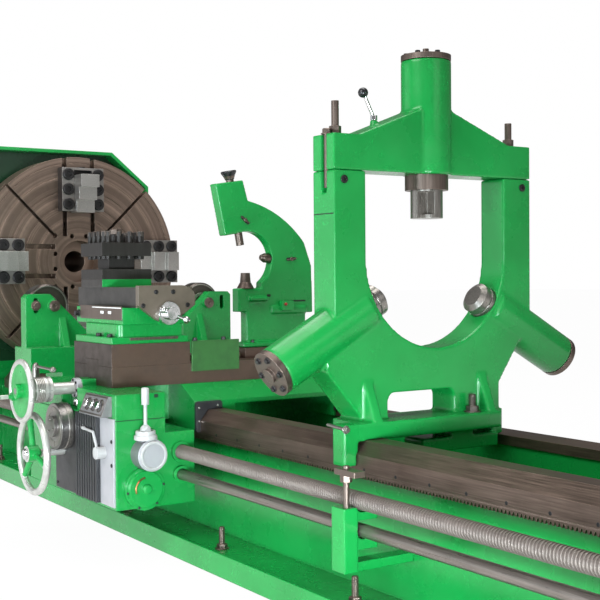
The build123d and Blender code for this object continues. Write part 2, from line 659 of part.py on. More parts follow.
# Apron box under the saddle, open at the top, stepped down at its right rear corner, with shaft holes
APRON_INSIDE_X = (SADDLE_X[0] + APRON_WALL, SADDLE_X[1] - APRON_WALL)
APRON_INSIDE_Y = (SADDLE_FRONT + APRON_WALL, APRON_BACK - APRON_WALL)
TRAVERSE_SHAFT_R = 16
DIAL_SHAFT_R = 16
STEP_WALL = 10
STEP_FLOOR = (472, 490)
with BuildPart() as apron:
    block(SADDLE_X, (SADDLE_FRONT, APRON_BACK), (APRON_BOTTOM, APRON_TOP))
    inside_z = (APRON_BOTTOM + APRON_WALL, APRON_TOP + 1)
    block(APRON_INSIDE_X, APRON_INSIDE_Y, inside_z, mode=Mode.SUBTRACT)
    corner_x = (POCKET_X - STEP_WALL, SADDLE_X[1])
    corner_y = (POCKET_Y[0] - STEP_WALL, APRON_BACK)
    block(corner_x, corner_y, (STEP_FLOOR[0], APRON_TOP))
    block((POCKET_X, SADDLE_X[1] + 1), (POCKET_Y[0], APRON_BACK + 1), (STEP_FLOOR[1], APRON_TOP + 1),
          mode=Mode.SUBTRACT)
    for shaft_z, radius in ((SCREW_Z, SCREW_R), (ROD_Z, ROD_R)):
        shaft_hole = (SADDLE_X[0] - 1, SCREW_Y, shaft_z)
        hole_length = SADDLE_X[1] - SADDLE_X[0] + 2
        bar(shaft_hole, ALONG, radius + APRON_HOLE_CLEAR, hole_length, Mode.SUBTRACT)
    front_holes = ((TRAVERSE_X, TRAVERSE_Z, TRAVERSE_SHAFT_R), (DIAL_X, DIAL_Z, DIAL_SHAFT_R))
    for hole_x, hole_z, radius in front_holes:
        bar((hole_x, SADDLE_FRONT - 1, hole_z), ACROSS, radius + FIT, APRON_WALL + 2, Mode.SUBTRACT)
save(apron, "apron")

# Ribbed black front panel and the dark plate beside it
PANEL_T = 8
RIB_DEPTH = 14
SIDE_PLATE_X = (1812, 2055)
SIDE_PLATE_Z = (212, 530)
PLATE_HOLE_CLEAR = 4
with BuildPart() as apron_panel:
    panel_front = SADDLE_FRONT - PANEL_T
    block(PANEL_X, (panel_front, SADDLE_FRONT), PANEL_Z)
    rib_pitch = (PANEL_X[1] - PANEL_X[0]) / PANEL_RIBS
    for rib in range(PANEL_RIBS):
        rib_start = PANEL_X[0] + (rib + 0.2) * rib_pitch
        block((rib_start, rib_start + 0.6 * rib_pitch), (panel_front - RIB_DEPTH, panel_front), PANEL_Z)
    block(SIDE_PLATE_X, (panel_front, SADDLE_FRONT), SIDE_PLATE_Z)
    for hole_x, hole_z, radius in front_holes:
        hole = (hole_x, panel_front - 1, hole_z)
        bar(hole, ACROSS, radius + PLATE_HOLE_CLEAR, PANEL_T + 2, Mode.SUBTRACT)
save(apron_panel, "apron_panel")

# Bright fittings: front strip, screw flange, shaft bushes and the control housing with its lid
FLANGE_R = 41
FLANGE_T = 22
CROSS_SHAFT_R = 25
BUSH_CLEAR = 2
BUSH_WALL = 11
BUSH_T = 18
HOUSING_YZ = (-724, 416)
HOUSING_R = 62
HOUSING_LENGTH = 70
LID_R = 56
LID_T = 10
JOY_XY = (2456, -738)
JOY_Z = 512
JOY_BALL_R = 21
JOY_COLLAR_R = 26
JOY_COLLAR_Z = (440, 487)
with BuildPart() as apron_fittings:
    block(STRIP_X, (SADDLE_FRONT - PANEL_T, SADDLE_FRONT), PANEL_Z)
    flange = (CROSS_MID, RECESS_Y - FLANGE_T, CROSS_SCREW_Z)
    bar(flange, ACROSS, FLANGE_R, FLANGE_T)
    bar(flange, ACROSS, CROSS_SHAFT_R + FIT, FLANGE_T, Mode.SUBTRACT)
    for shaft_z, radius in ((SCREW_Z, SCREW_R), (ROD_Z, ROD_R)):
        bush = (SADDLE_X[1], SCREW_Y, shaft_z)
        bar(bush, ALONG, radius + BUSH_CLEAR + BUSH_WALL, BUSH_T)
        bar(bush, ALONG, radius + BUSH_CLEAR, BUSH_T, Mode.SUBTRACT)
    bar((SADDLE_X[1], *HOUSING_YZ), ALONG, HOUSING_R, HOUSING_LENGTH)
    bar((SADDLE_X[1] + HOUSING_LENGTH, *HOUSING_YZ), ALONG, LID_R, LID_T)
    bar((*JOY_XY, JOY_COLLAR_Z[0]), UP, JOY_COLLAR_R, JOY_COLLAR_Z[1] - JOY_COLLAR_Z[0])
save(apron_fittings, "apron_fittings")

# Control lever above the housing: ball with a cross pin, stem and grip
JOY_PIN_R = 9
JOY_PIN_HALF = 26
JOY_STEM_R = 7
JOY_GRIP_R = 15
JOY_GRIP_Z = (98, 164)
with BuildPart() as joystick:
    ball((*JOY_XY, JOY_Z), JOY_BALL_R)
    bar((JOY_XY[0] - JOY_PIN_HALF, JOY_XY[1], JOY_Z), ALONG, JOY_PIN_R, 2 * JOY_PIN_HALF)
    bar((*JOY_XY, JOY_Z), UP, JOY_STEM_R, JOY_GRIP_Z[0] + JOY_PIN_R)
    bar((*JOY_XY, JOY_Z + JOY_GRIP_Z[0]), UP, JOY_GRIP_R, JOY_GRIP_Z[1] - JOY_GRIP_Z[0])
    fillet(joystick.edges().group_by(Axis.Z)[-1], JOY_GRIP_R / 2)
save(joystick, "joystick")

# Round cover on the apron's right side
COVER_YZ = (-732, 281)
COVER_STEPS = ((84, 20), (70, 28), (18, 38))
with BuildPart() as apron_cover:
    for radius, height in COVER_STEPS:
        bar((SADDLE_X[1], *COVER_YZ), ALONG, radius, height)
    bar((SADDLE_X[1] - 1, *HOUSING_YZ), ALONG, HOUSING_R + 1, COVER_STEPS[-1][1] + 2, Mode.SUBTRACT)
save(apron_cover, "apron_cover")

# Sloping button panel and its three push buttons
BUTTON_PANEL_X = (2165, 2385)
BUTTON_PANEL_LOW = 562
BUTTON_SLOPE = ((-860, 640), (-890, 566))
BUTTON_PLACES = (2225, 2283, 2341)
BUTTON_R = 18
BUTTON_STEM_R = 12
BUTTON_STEM = 24
BUTTON_HEAD = 12
BUTTON_TRAVEL = 6
slope_y = BUTTON_SLOPE[0][0] - BUTTON_SLOPE[1][0]
slope_z = BUTTON_SLOPE[0][1] - BUTTON_SLOPE[1][1]
slope_length = (slope_y ** 2 + slope_z ** 2) ** 0.5
BUTTON_AXIS = (0, -slope_z / slope_length, slope_y / slope_length)


def on_button(place, height):
    """Point on a button's axis, so high above the panel's sloping face."""
    middle_y = (BUTTON_SLOPE[0][0] + BUTTON_SLOPE[1][0]) / 2
    middle_z = (BUTTON_SLOPE[0][1] + BUTTON_SLOPE[1][1]) / 2
    return (place, middle_y + height * BUTTON_AXIS[1], middle_z + height * BUTTON_AXIS[2])


with BuildPart() as button_panel:
    along_x([(SADDLE_FRONT, BUTTON_PANEL_LOW), (SADDLE_FRONT, BUTTON_SLOPE[0][1]), *BUTTON_SLOPE,
             (BUTTON_SLOPE[1][0], BUTTON_PANEL_LOW)], BUTTON_PANEL_X)
    for place in BUTTON_PLACES:
        hole = on_button(place, -BUTTON_STEM)
        bar(hole, BUTTON_AXIS, BUTTON_STEM_R + GAP, BUTTON_STEM + 1, Mode.SUBTRACT)
save(button_panel, "button_panel")

for place, label in zip(BUTTON_PLACES, ("start_button", "stop_button", "jog_button")):
    stem_low = BUTTON_TRAVEL + 2 - BUTTON_STEM
    with BuildPart() as button:
        bar(on_button(place, stem_low), BUTTON_AXIS, BUTTON_STEM_R, BUTTON_STEM)
        bar(on_button(place, BUTTON_TRAVEL + 1), BUTTON_AXIS, BUTTON_R, BUTTON_HEAD)
        rim = button.edges().filter_by(GeomType.CIRCLE).sort_by(Axis((0, 0, 0), BUTTON_AXIS))[-1]
        chamfer(rim, BUTTON_HEAD / 3)
    save(button, label)

# Half-nut lever on the front strip: hub, thin bent rod and tip
LEVER_XZ = (2326, 419)
LEVER_HUB_Y = (-892, SADDLE_FRONT - PANEL_T - GAP)
LEVER_HUB_R = 24
LEVER_ROD_Y = -880
LEVER_STEM_R = 5.5
LEVER_ROD_START = (LEVER_XZ[0], LEVER_ROD_Y, LEVER_XZ[1])
LEVER_BEND = (2279, LEVER_ROD_Y, 496)
LEVER_TIP = (2190, LEVER_ROD_Y, 501)
LEVER_TIP_R = 7
LEVER_TIP_LENGTH = 14
with BuildPart() as half_nut_lever:
    hub_length = LEVER_HUB_Y[1] - LEVER_HUB_Y[0]
    bar((LEVER_XZ[0], LEVER_HUB_Y[0], LEVER_XZ[1]), ACROSS, LEVER_HUB_R, hub_length)
    for start, end in ((LEVER_ROD_START, LEVER_BEND), (LEVER_BEND, LEVER_TIP)):
        direction = Vector(*end) - Vector(*start)
        bar(start, direction, LEVER_STEM_R, direction.length)
    bar(LEVER_TIP, direction, LEVER_TIP_R, LEVER_TIP_LENGTH)
save(half_nut_lever, "half_nut_lever")

# Carriage traverse handwheel and its graduated dial
TRAVERSE_RIM = 15
TRAVERSE_HUB = 34
TRAVERSE_SPOKES = 3
TRAVERSE_FIRST = 75
SHAFT_INSIDE = 20
with BuildPart() as traverse_handwheel:
    centre = (TRAVERSE_X, TRAVERSE_WHEEL_Y, TRAVERSE_Z)
    handwheel(centre, TO_OPERATOR, TRAVERSE_WHEEL_R, TRAVERSE_RIM, TRAVERSE_HUB, TRAVERSE_SPOKES,
              TRAVERSE_FIRST)
    bar(centre, ACROSS, TRAVERSE_SHAFT_R, SADDLE_FRONT + SHAFT_INSIDE - TRAVERSE_WHEEL_Y)
save(traverse_handwheel, "traverse_handwheel")

DIAL_Y = (-912, -855)
DIAL_HUB_R = 44
DIAL_HUB_RISE = 14
with BuildPart() as traverse_dial:
    bar((DIAL_X, DIAL_Y[0], DIAL_Z), ACROSS, DIAL_R, DIAL_Y[1] - DIAL_Y[0])
    bar((DIAL_X, DIAL_Y[0] - DIAL_HUB_RISE, DIAL_Z), ACROSS, DIAL_HUB_R, DIAL_HUB_RISE + 1)
    bar((DIAL_X, DIAL_Y[0], DIAL_Z), ACROSS, DIAL_SHAFT_R, SADDLE_FRONT + SHAFT_INSIDE - DIAL_Y[0])
save(traverse_dial, "traverse_dial")

# Cross feed handwheel: rim on a solid web, dial collar, crank handle and the screw behind it
CRANK_ANGLE = 200
CRANK_RADIUS = 86
CRANK_BOSS_R = 17
CRANK_STEM_R = 9
CRANK_LENGTH = 78
WEB_T = 10
CROSS_RIM = 12
CROSS_HUB = 30
COLLAR_Y = (-1004, -932)
CROSS_COLLAR_R = 52
CROSS_SHAFT_LENGTH = 247
CROSS_SCREW_LENGTH = 500
with BuildPart() as cross_handwheel:
    centre = (CROSS_MID, CROSS_WHEEL_Y, CROSS_SCREW_Z)
    handwheel(centre, TO_OPERATOR, CROSS_WHEEL_R, CROSS_RIM, CROSS_HUB, 0, 0)
    bar((CROSS_MID, CROSS_WHEEL_Y - WEB_T / 2, CROSS_SCREW_Z), ACROSS, CROSS_WHEEL_R - CROSS_RIM, WEB_T)
    bar(centre, ACROSS, CROSS_SHAFT_R, CROSS_SHAFT_LENGTH)
    bar((CROSS_MID, COLLAR_Y[0], CROSS_SCREW_Z), ACROSS, CROSS_COLLAR_R, COLLAR_Y[1] - COLLAR_Y[0])
    bar(centre, ACROSS, CROSS_SCREW_R, CROSS_SCREW_LENGTH)
    crank_x = CROSS_MID + CRANK_RADIUS * cos(radians(CRANK_ANGLE))
    crank_z = CROSS_SCREW_Z + CRANK_RADIUS * sin(radians(CRANK_ANGLE))
    bar((crank_x, CROSS_WHEEL_Y, crank_z), TO_OPERATOR, CRANK_BOSS_R, CRANK_BOSS_R)
    bar((crank_x, CROSS_WHEEL_Y, crank_z), TO_OPERATOR, CRANK_STEM_R, CRANK_LENGTH)
    ball((crank_x, CROSS_WHEEL_Y - CRANK_LENGTH, crank_z), CRANK_BOSS_R)
save(cross_handwheel, "cross_handwheel")

# Cross slide, grooved to run on the guide
with BuildPart() as cross_slide:
    block(CROSS_X, CROSS_SLIDE_Y, (CROSS_WAY_TOP + GAP, CROSS_SLIDE_TOP))
    groove_x = (guide_x[0] - GAP, guide_x[1] + GAP)
    groove_y = (CROSS_SLIDE_Y[0] - 1, CROSS_SLIDE_Y[1] + 1)
    groove_z = (CROSS_WAY_TOP, CROSS_WAY_TOP + GUIDE_H + GAP)
    block(groove_x, groove_y, groove_z, mode=Mode.SUBTRACT)
save(cross_slide, "cross_slide")

# Compound base bolted on the cross slide, bored for the swivel's pivot
BASE_FLANGE_X = (1758, 2142)
BASE_FLANGE_Y = (-736, -387)
BASE_FLANGE_TOP = 854
BASE_BLOCK_X = (1770, 2130)
BASE_BLOCK_Y = (-700, -395)
BASE_CORNER = 22
PIVOT_R = 60
PIVOT_Z = (868, 908)
with BuildPart() as compound_base:
    block(BASE_FLANGE_X, BASE_FLANGE_Y, (CROSS_SLIDE_TOP, BASE_FLANGE_TOP))
    with BuildSketch(Plane.XY.offset(BASE_FLANGE_TOP)):
        with Locations((sum(BASE_BLOCK_X) / 2, sum(BASE_BLOCK_Y) / 2)):
            base_size = (BASE_BLOCK_X[1] - BASE_BLOCK_X[0], BASE_BLOCK_Y[1] - BASE_BLOCK_Y[0])
            RectangleRounded(*base_size, BASE_CORNER)
    extrude(amount=SWIVEL_Z - BASE_FLANGE_TOP)
    bar((*SWIVEL_XY, PIVOT_Z[0] - 2), UP, PIVOT_R + FIT, SWIVEL_Z - PIVOT_Z[0] + 3, Mode.SUBTRACT)
save(compound_base, "compound_base")

# Swivel: the pivoted lower slide of the compound
SWIVEL_SLIDE_X = (1660, 2145)
SWIVEL_SLIDE_Y = (-690, -400)
SWIVEL_RIB_Y = (-570, -470)
SWIVEL_RIB_TOP = 997
with BuildPart() as swivel:
    bar((*SWIVEL_XY, PIVOT_Z[0]), UP, PIVOT_R, PIVOT_Z[1] - PIVOT_Z[0])
    block(SWIVEL_SLIDE_X, SWIVEL_SLIDE_Y, (SWIVEL_Z + GAP, SWIVEL_TOP))
    block(SWIVEL_SLIDE_X, SWIVEL_RIB_Y, (SWIVEL_TOP, SWIVEL_RIB_TOP))
save(swivel, "swivel")

# Top slide with its bolted end plate and the raised pad under the tool post
END_PLATE_X = (2190, 2216)
END_PLATE_LOW = 913
END_PLATE_SIDE = 985
END_PLATE_TOP = 1067
END_PLATE_FALL = ((70, 0), (14, 21), (0, 40))
END_PLATE_TIP = (50, 14)
with BuildPart() as top_slide:
    block(TOP_SLIDE_X, TOP_SLIDE_Y, (SWIVEL_TOP + GAP, TOP_SLIDE_TOP))
    block((TOP_SLIDE_X[0] - 1, TOP_SLIDE_X[1]), (SWIVEL_RIB_Y[0] - GAP, SWIVEL_RIB_Y[1] + GAP),
          (SWIVEL_TOP, SWIVEL_RIB_TOP + GAP), mode=Mode.SUBTRACT)
    half = POST_W / 2
    block((POST_XY[0] - half, POST_XY[0] + half), (POST_XY[1] - half, POST_XY[1] + half),
          (TOP_SLIDE_TOP, POST_PAD_TOP))
    with BuildSketch(Plane.YZ.offset(END_PLATE_X[0])) as end_outline:
        with BuildLine():
            front, rear = TOP_SLIDE_Y
            rounding = [(rear - back, END_PLATE_TOP - drop) for back, drop in END_PLATE_FALL]
            rise = Line((front, END_PLATE_SIDE), (front, END_PLATE_TOP))
            across = Line(rise @ 1, rounding[0])
            corner = ThreePointArc(*rounding)
            fall = Line(corner @ 1, (rear, END_PLATE_SIDE))
            tip = (HANDLE_YZ[0], END_PLATE_LOW)
            side = Line(fall @ 1, (tip[0] + END_PLATE_TIP[0], tip[1] + END_PLATE_TIP[1]))
            round_end = ThreePointArc(side @ 1, tip, (tip[0] - END_PLATE_TIP[0], tip[1] + END_PLATE_TIP[1]))
            Line(round_end @ 1, rise @ 0)
        make_face()
    extrude(amount=END_PLATE_X[1] - END_PLATE_X[0])
save(top_slide, "top_slide")

# Ball handle of the top slide: hub, neck and a bar with a ball at each end
HANDLE_HUB = (48, 28)
HANDLE_NECK = (26, 56)
HANDLE_BAR_X = END_PLATE_X[1] + 44
HANDLE_LEAN = (0.25, 0.91, -0.43)
HANDLE_LONG = 68
HANDLE_LONG_R = (7, 15)
HANDLE_SHORT = 36
HANDLE_SHORT_R = (8, 14)
with BuildPart() as top_handle:
    for radius, height in (HANDLE_HUB, HANDLE_NECK):
        bar((END_PLATE_X[1] + GAP, *HANDLE_YZ), ALONG, radius, height)
    handle_axis = Vector(*HANDLE_LEAN).normalized()
    handle_middle = Vector(HANDLE_BAR_X, *HANDLE_YZ)
    bar(handle_middle, handle_axis, HANDLE_LONG_R[0], HANDLE_LONG)
    bar(handle_middle, handle_axis * -1, HANDLE_SHORT_R[0], HANDLE_SHORT)
    ball(handle_middle + handle_axis * HANDLE_LONG, HANDLE_LONG_R[1])
    ball(handle_middle - handle_axis * HANDLE_SHORT, HANDLE_SHORT_R[1])
save(top_handle, "top_handle")

# Four-way tool post that turns on the top slide
POST_BOLT_R = 11
POST_BOLT_TOP = 1300
POST_BOLT_INSET = 27
POST_BOLT_LINE = (-75, -25, 25, 75)
POST_NUT_R = 34
POST_NUT_H = 40
POST_BOLT_BELOW = 14
with BuildPart() as tool_post:
    half = POST_W / 2
    core = POST_CORE_W / 2
    block_x = (POST_XY[0] - half, POST_XY[0] + half)
    block_y = (POST_XY[1] - half, POST_XY[1] + half)
    core_x = (POST_XY[0] - core, POST_XY[0] + core)
    core_y = (POST_XY[1] - core, POST_XY[1] + core)
    block(block_x, block_y, (POST_PAD_TOP + GAP, POST_BASE_TOP))
    block(core_x, core_y, (POST_BASE_TOP, POST_PLATE[0]))
    block(block_x, block_y, POST_PLATE)
    bar((*POST_XY, POST_PLATE[1]), UP, POST_NUT_R, POST_NUT_H)
    bolt_line = half - POST_BOLT_INSET
    bolt_low = POST_PLATE[0] - POST_BOLT_BELOW
    for shift in POST_BOLT_LINE:
        for place in ((shift, -bolt_line), (shift, bolt_line), (-bolt_line, shift), (bolt_line, shift)):
            bolt = (POST_XY[0] + place[0], POST_XY[1] + place[1], bolt_low)
            bar(bolt, UP, POST_BOLT_R, POST_BOLT_TOP - bolt_low)
save(tool_post, "tool_post")

# Follow rest: a C-shaped arm on a pedestal at the rear of the cross way
FOLLOW_HEAD = [(-150, 1519), (-6, 1541), (20, 1448)]
FOLLOW_BACK = [(190, 1381), (326, 1260)]
FOLLOW_HEEL = [(366, 1150), (372, 930), (330, 930)]
FOLLOW_FLANGE_TOP = 800
FOLLOW_FLANGE_Y = (-24, 360)
FOLLOW_LEG_Y = (7, 330)
FOLLOW_LEG_TOP = 940
FOLLOW_BLOCK_Y = -36
FOLLOW_BLOCK_TOP = 1047
FOLLOW_HOLLOW = [(90, 1074), (146, 1185), (-14, 1303)]
FOLLOW_HEAD_FOOT = [(-48, 1295), (-102, 1286)]
LEDGE_Y = (20, 112)
LEDGE_Z = (990, 1008)
LEDGE_X = 24
STEP_X = 12
STEP_Y = (140, 330)
STEP_Z = (930, 960)
BORE_START = 40
BORE_REACH = (400, 300)
LOW_BORE = (940, 130)
with BuildPart() as follow_rest:
    with BuildSketch(Plane.YZ.offset(FOLLOW_X[0])) as arm_outline:
        with BuildLine():
            head = Polyline(*FOLLOW_HEAD)
            back = ThreePointArc(head @ 1, *FOLLOW_BACK)
            heel = Polyline(back @ 1, *FOLLOW_HEEL, (FOLLOW_LEG_Y[1], FOLLOW_FLANGE_TOP))
            foot = Polyline(heel @ 1, (FOLLOW_FLANGE_Y[1], FOLLOW_FLANGE_TOP), (FOLLOW_FLANGE_Y[1], PAD_TOP),
                            (FOLLOW_FLANGE_Y[0], PAD_TOP), (FOLLOW_FLANGE_Y[0], FOLLOW_FLANGE_TOP))
            leg = Polyline(foot @ 1, (FOLLOW_LEG_Y[0], FOLLOW_FLANGE_TOP), (FOLLOW_LEG_Y[0], FOLLOW_LEG_TOP),
                           (FOLLOW_BLOCK_Y, FOLLOW_LEG_TOP), (FOLLOW_BLOCK_Y, FOLLOW_BLOCK_TOP),
                           (FOLLOW_HOLLOW[0][0], FOLLOW_BLOCK_TOP), FOLLOW_HOLLOW[0])
            hollow = ThreePointArc(*FOLLOW_HOLLOW)
            Polyline(hollow @ 1, *FOLLOW_HEAD_FOOT, head @ 0)
        make_face()
    extrude(amount=FOLLOW_X[1] - FOLLOW_X[0])
    block((FOLLOW_X[1] - 1, FOLLOW_X[1] + LEDGE_X), LEDGE_Y, LEDGE_Z)
    block((FOLLOW_X[1] - 1, FOLLOW_X[1] + STEP_X), STEP_Y, STEP_Z)
    block((FOLLOW_X[0], FOLLOW_X[1] + LEDGE_X), FOLLOW_FLANGE_Y, (PAD_TOP, FOLLOW_FLANGE_TOP))
    bore_angles = (FOLLOW_TOP_ANGLE, FOLLOW_SIDE_ANGLE)
    for angle, radius, reach in zip(bore_angles, (FOLLOW_PIN_R, FOLLOW_SIDE_R), BORE_REACH):
        bar(on_radius(angle, BORE_START, FOLLOW_MID), outward(angle), radius + FIT, reach, Mode.SUBTRACT)
    bar((FOLLOW_MID, FOLLOW_LOW_Y, LOW_BORE[0]), UP, FOLLOW_PIN_R + FIT, LOW_BORE[1], Mode.SUBTRACT)
save(follow_rest, "follow_rest")

# Follow rest plungers: the upper one with a knob, the side one, and the lower one with its coned nut
TOP_PIN = (45, 348)
KNOB_R = (20, 34)
KNOB_H = 36
with BuildPart() as follow_plunger_top:
    pin_axis = outward(FOLLOW_TOP_ANGLE)
    bar(on_radius(FOLLOW_TOP_ANGLE, TOP_PIN[0], FOLLOW_MID), pin_axis, FOLLOW_PIN_R, TOP_PIN[1] - TOP_PIN[0])
    taper(on_radius(FOLLOW_TOP_ANGLE, TOP_PIN[1] - 1, FOLLOW_MID), pin_axis, *KNOB_R, KNOB_H)
save(follow_plunger_top, "follow_plunger_top")

SIDE_PIN = (120, 300)
SIDE_TIP = 20
SIDE_TIP_R = 12
with BuildPart() as follow_plunger_side:
    pin_axis = outward(FOLLOW_SIDE_ANGLE)
    start = on_radius(FOLLOW_SIDE_ANGLE, SIDE_PIN[0], FOLLOW_MID)
    bar(start, pin_axis, FOLLOW_SIDE_R, SIDE_PIN[1] - SIDE_PIN[0])
    tip = on_radius(FOLLOW_SIDE_ANGLE, SIDE_PIN[0] - SIDE_TIP, FOLLOW_MID)
    taper(tip, pin_axis, SIDE_TIP_R, FOLLOW_SIDE_R, SIDE_TIP)
save(follow_plunger_side, "follow_plunger_side")

LOW_NUT_R = (40, 26)
LOW_NUT_H = 26
LOW_TIP_R = (25, 21)
LOW_TIP_TOP = 1118
with BuildPart() as follow_plunger_low:
    low_nut_z = FOLLOW_BLOCK_TOP + GAP
    bar((FOLLOW_MID, FOLLOW_LOW_Y, FOLLOW_LOW_Z[0]), UP, FOLLOW_PIN_R, FOLLOW_LOW_Z[1] - FOLLOW_LOW_Z[0])
    taper((FOLLOW_MID, FOLLOW_LOW_Y, low_nut_z), UP, *LOW_NUT_R, LOW_NUT_H)
    low_tip_z = low_nut_z + LOW_NUT_H
    taper((FOLLOW_MID, FOLLOW_LOW_Y, low_tip_z), UP, *LOW_TIP_R, LOW_TIP_TOP - low_tip_z)
save(follow_plunger_low, "follow_plunger_low")

# Steady rest frame: base with its clamps, side columns, half-round opening and the two lower arms
STEADY_BASE_TOP = 606
STEADY_OUTER = [(-STEADY_HALF, STEADY_SPLIT), (-STEADY_HALF, 930), (-486, 782), (-335, STEADY_BASE_TOP - 1),
                (290, STEADY_BASE_TOP - 1), (290, 700), (STEADY_HALF, 930), (STEADY_HALF, STEADY_SPLIT)]
STEADY_ANGLES = (180 + STEADY_ARM_ANGLE, -STEADY_ARM_ANGLE)
ARM_START = 330
ARM_BORE_START = 250
STEADY_BASE_Y = (-375, 242)
STEADY_BASE_LOW = 547
STEADY_FRONT_X = (3323, 3392)
STEADY_HEEL_Y = (240, 305)
STEADY_PAD_Y = (255, 305)
STEADY_PAD_LOW = 500
STEADY_FOOT_Y = (-464, -405)
STEADY_FOOT_Z = (468, 569)
STEADY_WINDOW_Y = (-226, 71)
STEADY_WINDOW_TOP = 694
STEADY_WINDOW_R = 30
STEADY_CLAMP_X = (3240, 3350)
STEADY_CLAMP_Y = (-94, 262)
STEADY_CLAMP_Z = (475, 524)
STEADY_NECK_Y = (40, 140)
GUSSET_MIDDLES = (-313, 206)
GUSSET_T = 38
GUSSET_TOP = 745
GUSSET_INSET = 6
SWING_SLOT_X = (3246, 3278)
SWING_SLOT_Y = (-451, -421)
SWING_SLOT_LOW = 1384
with BuildPart() as steady_frame:
    along_x(STEADY_OUTER, STEADY_X)
    for angle in STEADY_ANGLES:
        bar(on_arm(angle, ARM_START), outward(angle), STEADY_ARM_R, STEADY_ARM_END - ARM_START)
    with BuildSketch(Plane.YZ.offset(STEADY_MID)):
        with BuildLine():
            left_side = Line((-STEADY_OPEN, STEADY_SPLIT + 1), (-STEADY_OPEN, STEADY_ARC_Z))
            bowl = ThreePointArc(left_side @ 1, (0, STEADY_ARC_Z - STEADY_OPEN), (STEADY_OPEN, STEADY_ARC_Z))
            Polyline(bowl @ 1, (STEADY_OPEN, STEADY_SPLIT + 1), left_side @ 0)
        make_face()
    extrude(amount=STEADY_X[1] - STEADY_X[0], both=True, mode=Mode.SUBTRACT)
    window_z = (STEADY_BASE_TOP - 2, STEADY_WINDOW_TOP)
    with BuildSketch(Plane.YZ.offset(STEADY_MID)):
        with Locations((sum(STEADY_WINDOW_Y) / 2, sum(window_z) / 2)):
            Rectangle(STEADY_WINDOW_Y[1] - STEADY_WINDOW_Y[0], window_z[1] - window_z[0])
        fillet(vertices().group_by(Axis.Y)[-1], STEADY_WINDOW_R)
    extrude(amount=STEADY_X[1] - STEADY_X[0], both=True, mode=Mode.SUBTRACT)
    base_z = (STEADY_BASE_LOW, STEADY_BASE_TOP)
    block(STEADY_BASE_X, STEADY_BASE_Y, base_z)
    block(STEADY_X, STEADY_HEEL_Y, base_z)
    block(STEADY_X, STEADY_PAD_Y, (STEADY_PAD_LOW, STEADY_BASE_TOP))
    block(STEADY_FRONT_X, (STEADY_FOOT_Y[0], STEADY_BASE_Y[0]), base_z)
    block(STEADY_FRONT_X, STEADY_FOOT_Y, STEADY_FOOT_Z)
    block(STEADY_CLAMP_X, STEADY_CLAMP_Y, STEADY_CLAMP_Z)
    block(STEADY_CLAMP_X, STEADY_NECK_Y, (STEADY_CLAMP_Z[0], STEADY_BASE_TOP))
    for middle in GUSSET_MIDDLES:
        gusset_low = STEADY_BASE_TOP - 1
        triangle = [(STEADY_X[1] - 1, gusset_low), (STEADY_BASE_X[1] - GUSSET_INSET, gusset_low),
                    (STEADY_X[1] - 1, GUSSET_TOP)]
        prism(Plane.XZ.offset(-middle - GUSSET_T / 2), triangle, GUSSET_T)
    clear_ways(STEADY_BASE_X)
    block(SWING_SLOT_X, SWING_SLOT_Y, (SWING_SLOT_LOW, STEADY_SPLIT + 1), mode=Mode.SUBTRACT)
    for angle in STEADY_ANGLES:
        bore_length = STEADY_ARM_END - ARM_BORE_START + 1
        bar(on_arm(angle, ARM_BORE_START), outward(angle), ARM_PLUNGER_R + FIT, bore_length, Mode.SUBTRACT)
save(steady_frame, "steady_frame")

# Gabled bridge across the top of the steady rest
GABLE_FOOT_Y = 345
GABLE_TOP_Y = 64
GABLE_TOP = 1690
GABLE = [(-STEADY_HALF, STEADY_SPLIT), (-STEADY_HALF, STEADY_SHOULDER), (-GABLE_FOOT_Y, STEADY_SHOULDER),
         (-GABLE_TOP_Y, GABLE_TOP), (GABLE_TOP_Y, GABLE_TOP), (GABLE_FOOT_Y, STEADY_SHOULDER),
         (STEADY_HALF, STEADY_SHOULDER), (STEADY_HALF, STEADY_SPLIT)]
STEADY_STUD_R = 13
LEVER_BOSS = (STEADY_MID, -235, 1605)
LEVER_BOSS_R = 14
LEVER_BOSS_TOP = 1642
with BuildPart() as steady_bridge:
    along_x(GABLE, STEADY_X)
    bar((STEADY_MID, 0, STEADY_SPLIT), UP, STEADY_BOSS_R, STEADY_TOP - STEADY_SPLIT)
    bore_length = STEADY_TOP - STEADY_SPLIT + 2
    bar((STEADY_MID, 0, STEADY_SPLIT - 1), UP, TOP_PLUNGER_R + FIT, bore_length, Mode.SUBTRACT)
    bar(LEVER_BOSS, UP, LEVER_BOSS_R, LEVER_BOSS_TOP - LEVER_BOSS[2])
    for side in (-STUD_Y, STUD_Y):
        stud_hole = (STEADY_MID, side, STEADY_SPLIT - 1)
        bar(stud_hole, UP, STEADY_STUD_R + GAP, STEADY_SHOULDER - STEADY_SPLIT + 2, Mode.SUBTRACT)
    block(SWING_SLOT_X, SWING_SLOT_Y, (STEADY_SPLIT - 1, STEADY_SHOULDER + 1), mode=Mode.SUBTRACT)
save(steady_bridge, "steady_bridge")

# Plungers of the steady rest: the upper one is notched, the arm ones have a ring and a rounded tip
TOP_PLUNGER_Z = (1305, 1700)
NOTCH_Y = (-60, -10)
NOTCH_Z = (1318, 1400)
CORNER_Y = (-60, -38)
CORNER_TOP = 1330
with BuildPart() as steady_plunger_top:
    bar((STEADY_MID, 0, TOP_PLUNGER_Z[0]), UP, TOP_PLUNGER_R, TOP_PLUNGER_Z[1] - TOP_PLUNGER_Z[0])
    front_half = (STEADY_MID + 15, STEADY_MID + TOP_PLUNGER_R + 1)
    block(front_half, NOTCH_Y, NOTCH_Z, mode=Mode.SUBTRACT)
    block(front_half, CORNER_Y, (TOP_PLUNGER_Z[0] - 1, CORNER_TOP), mode=Mode.SUBTRACT)
save(steady_plunger_top, "steady_plunger_top")

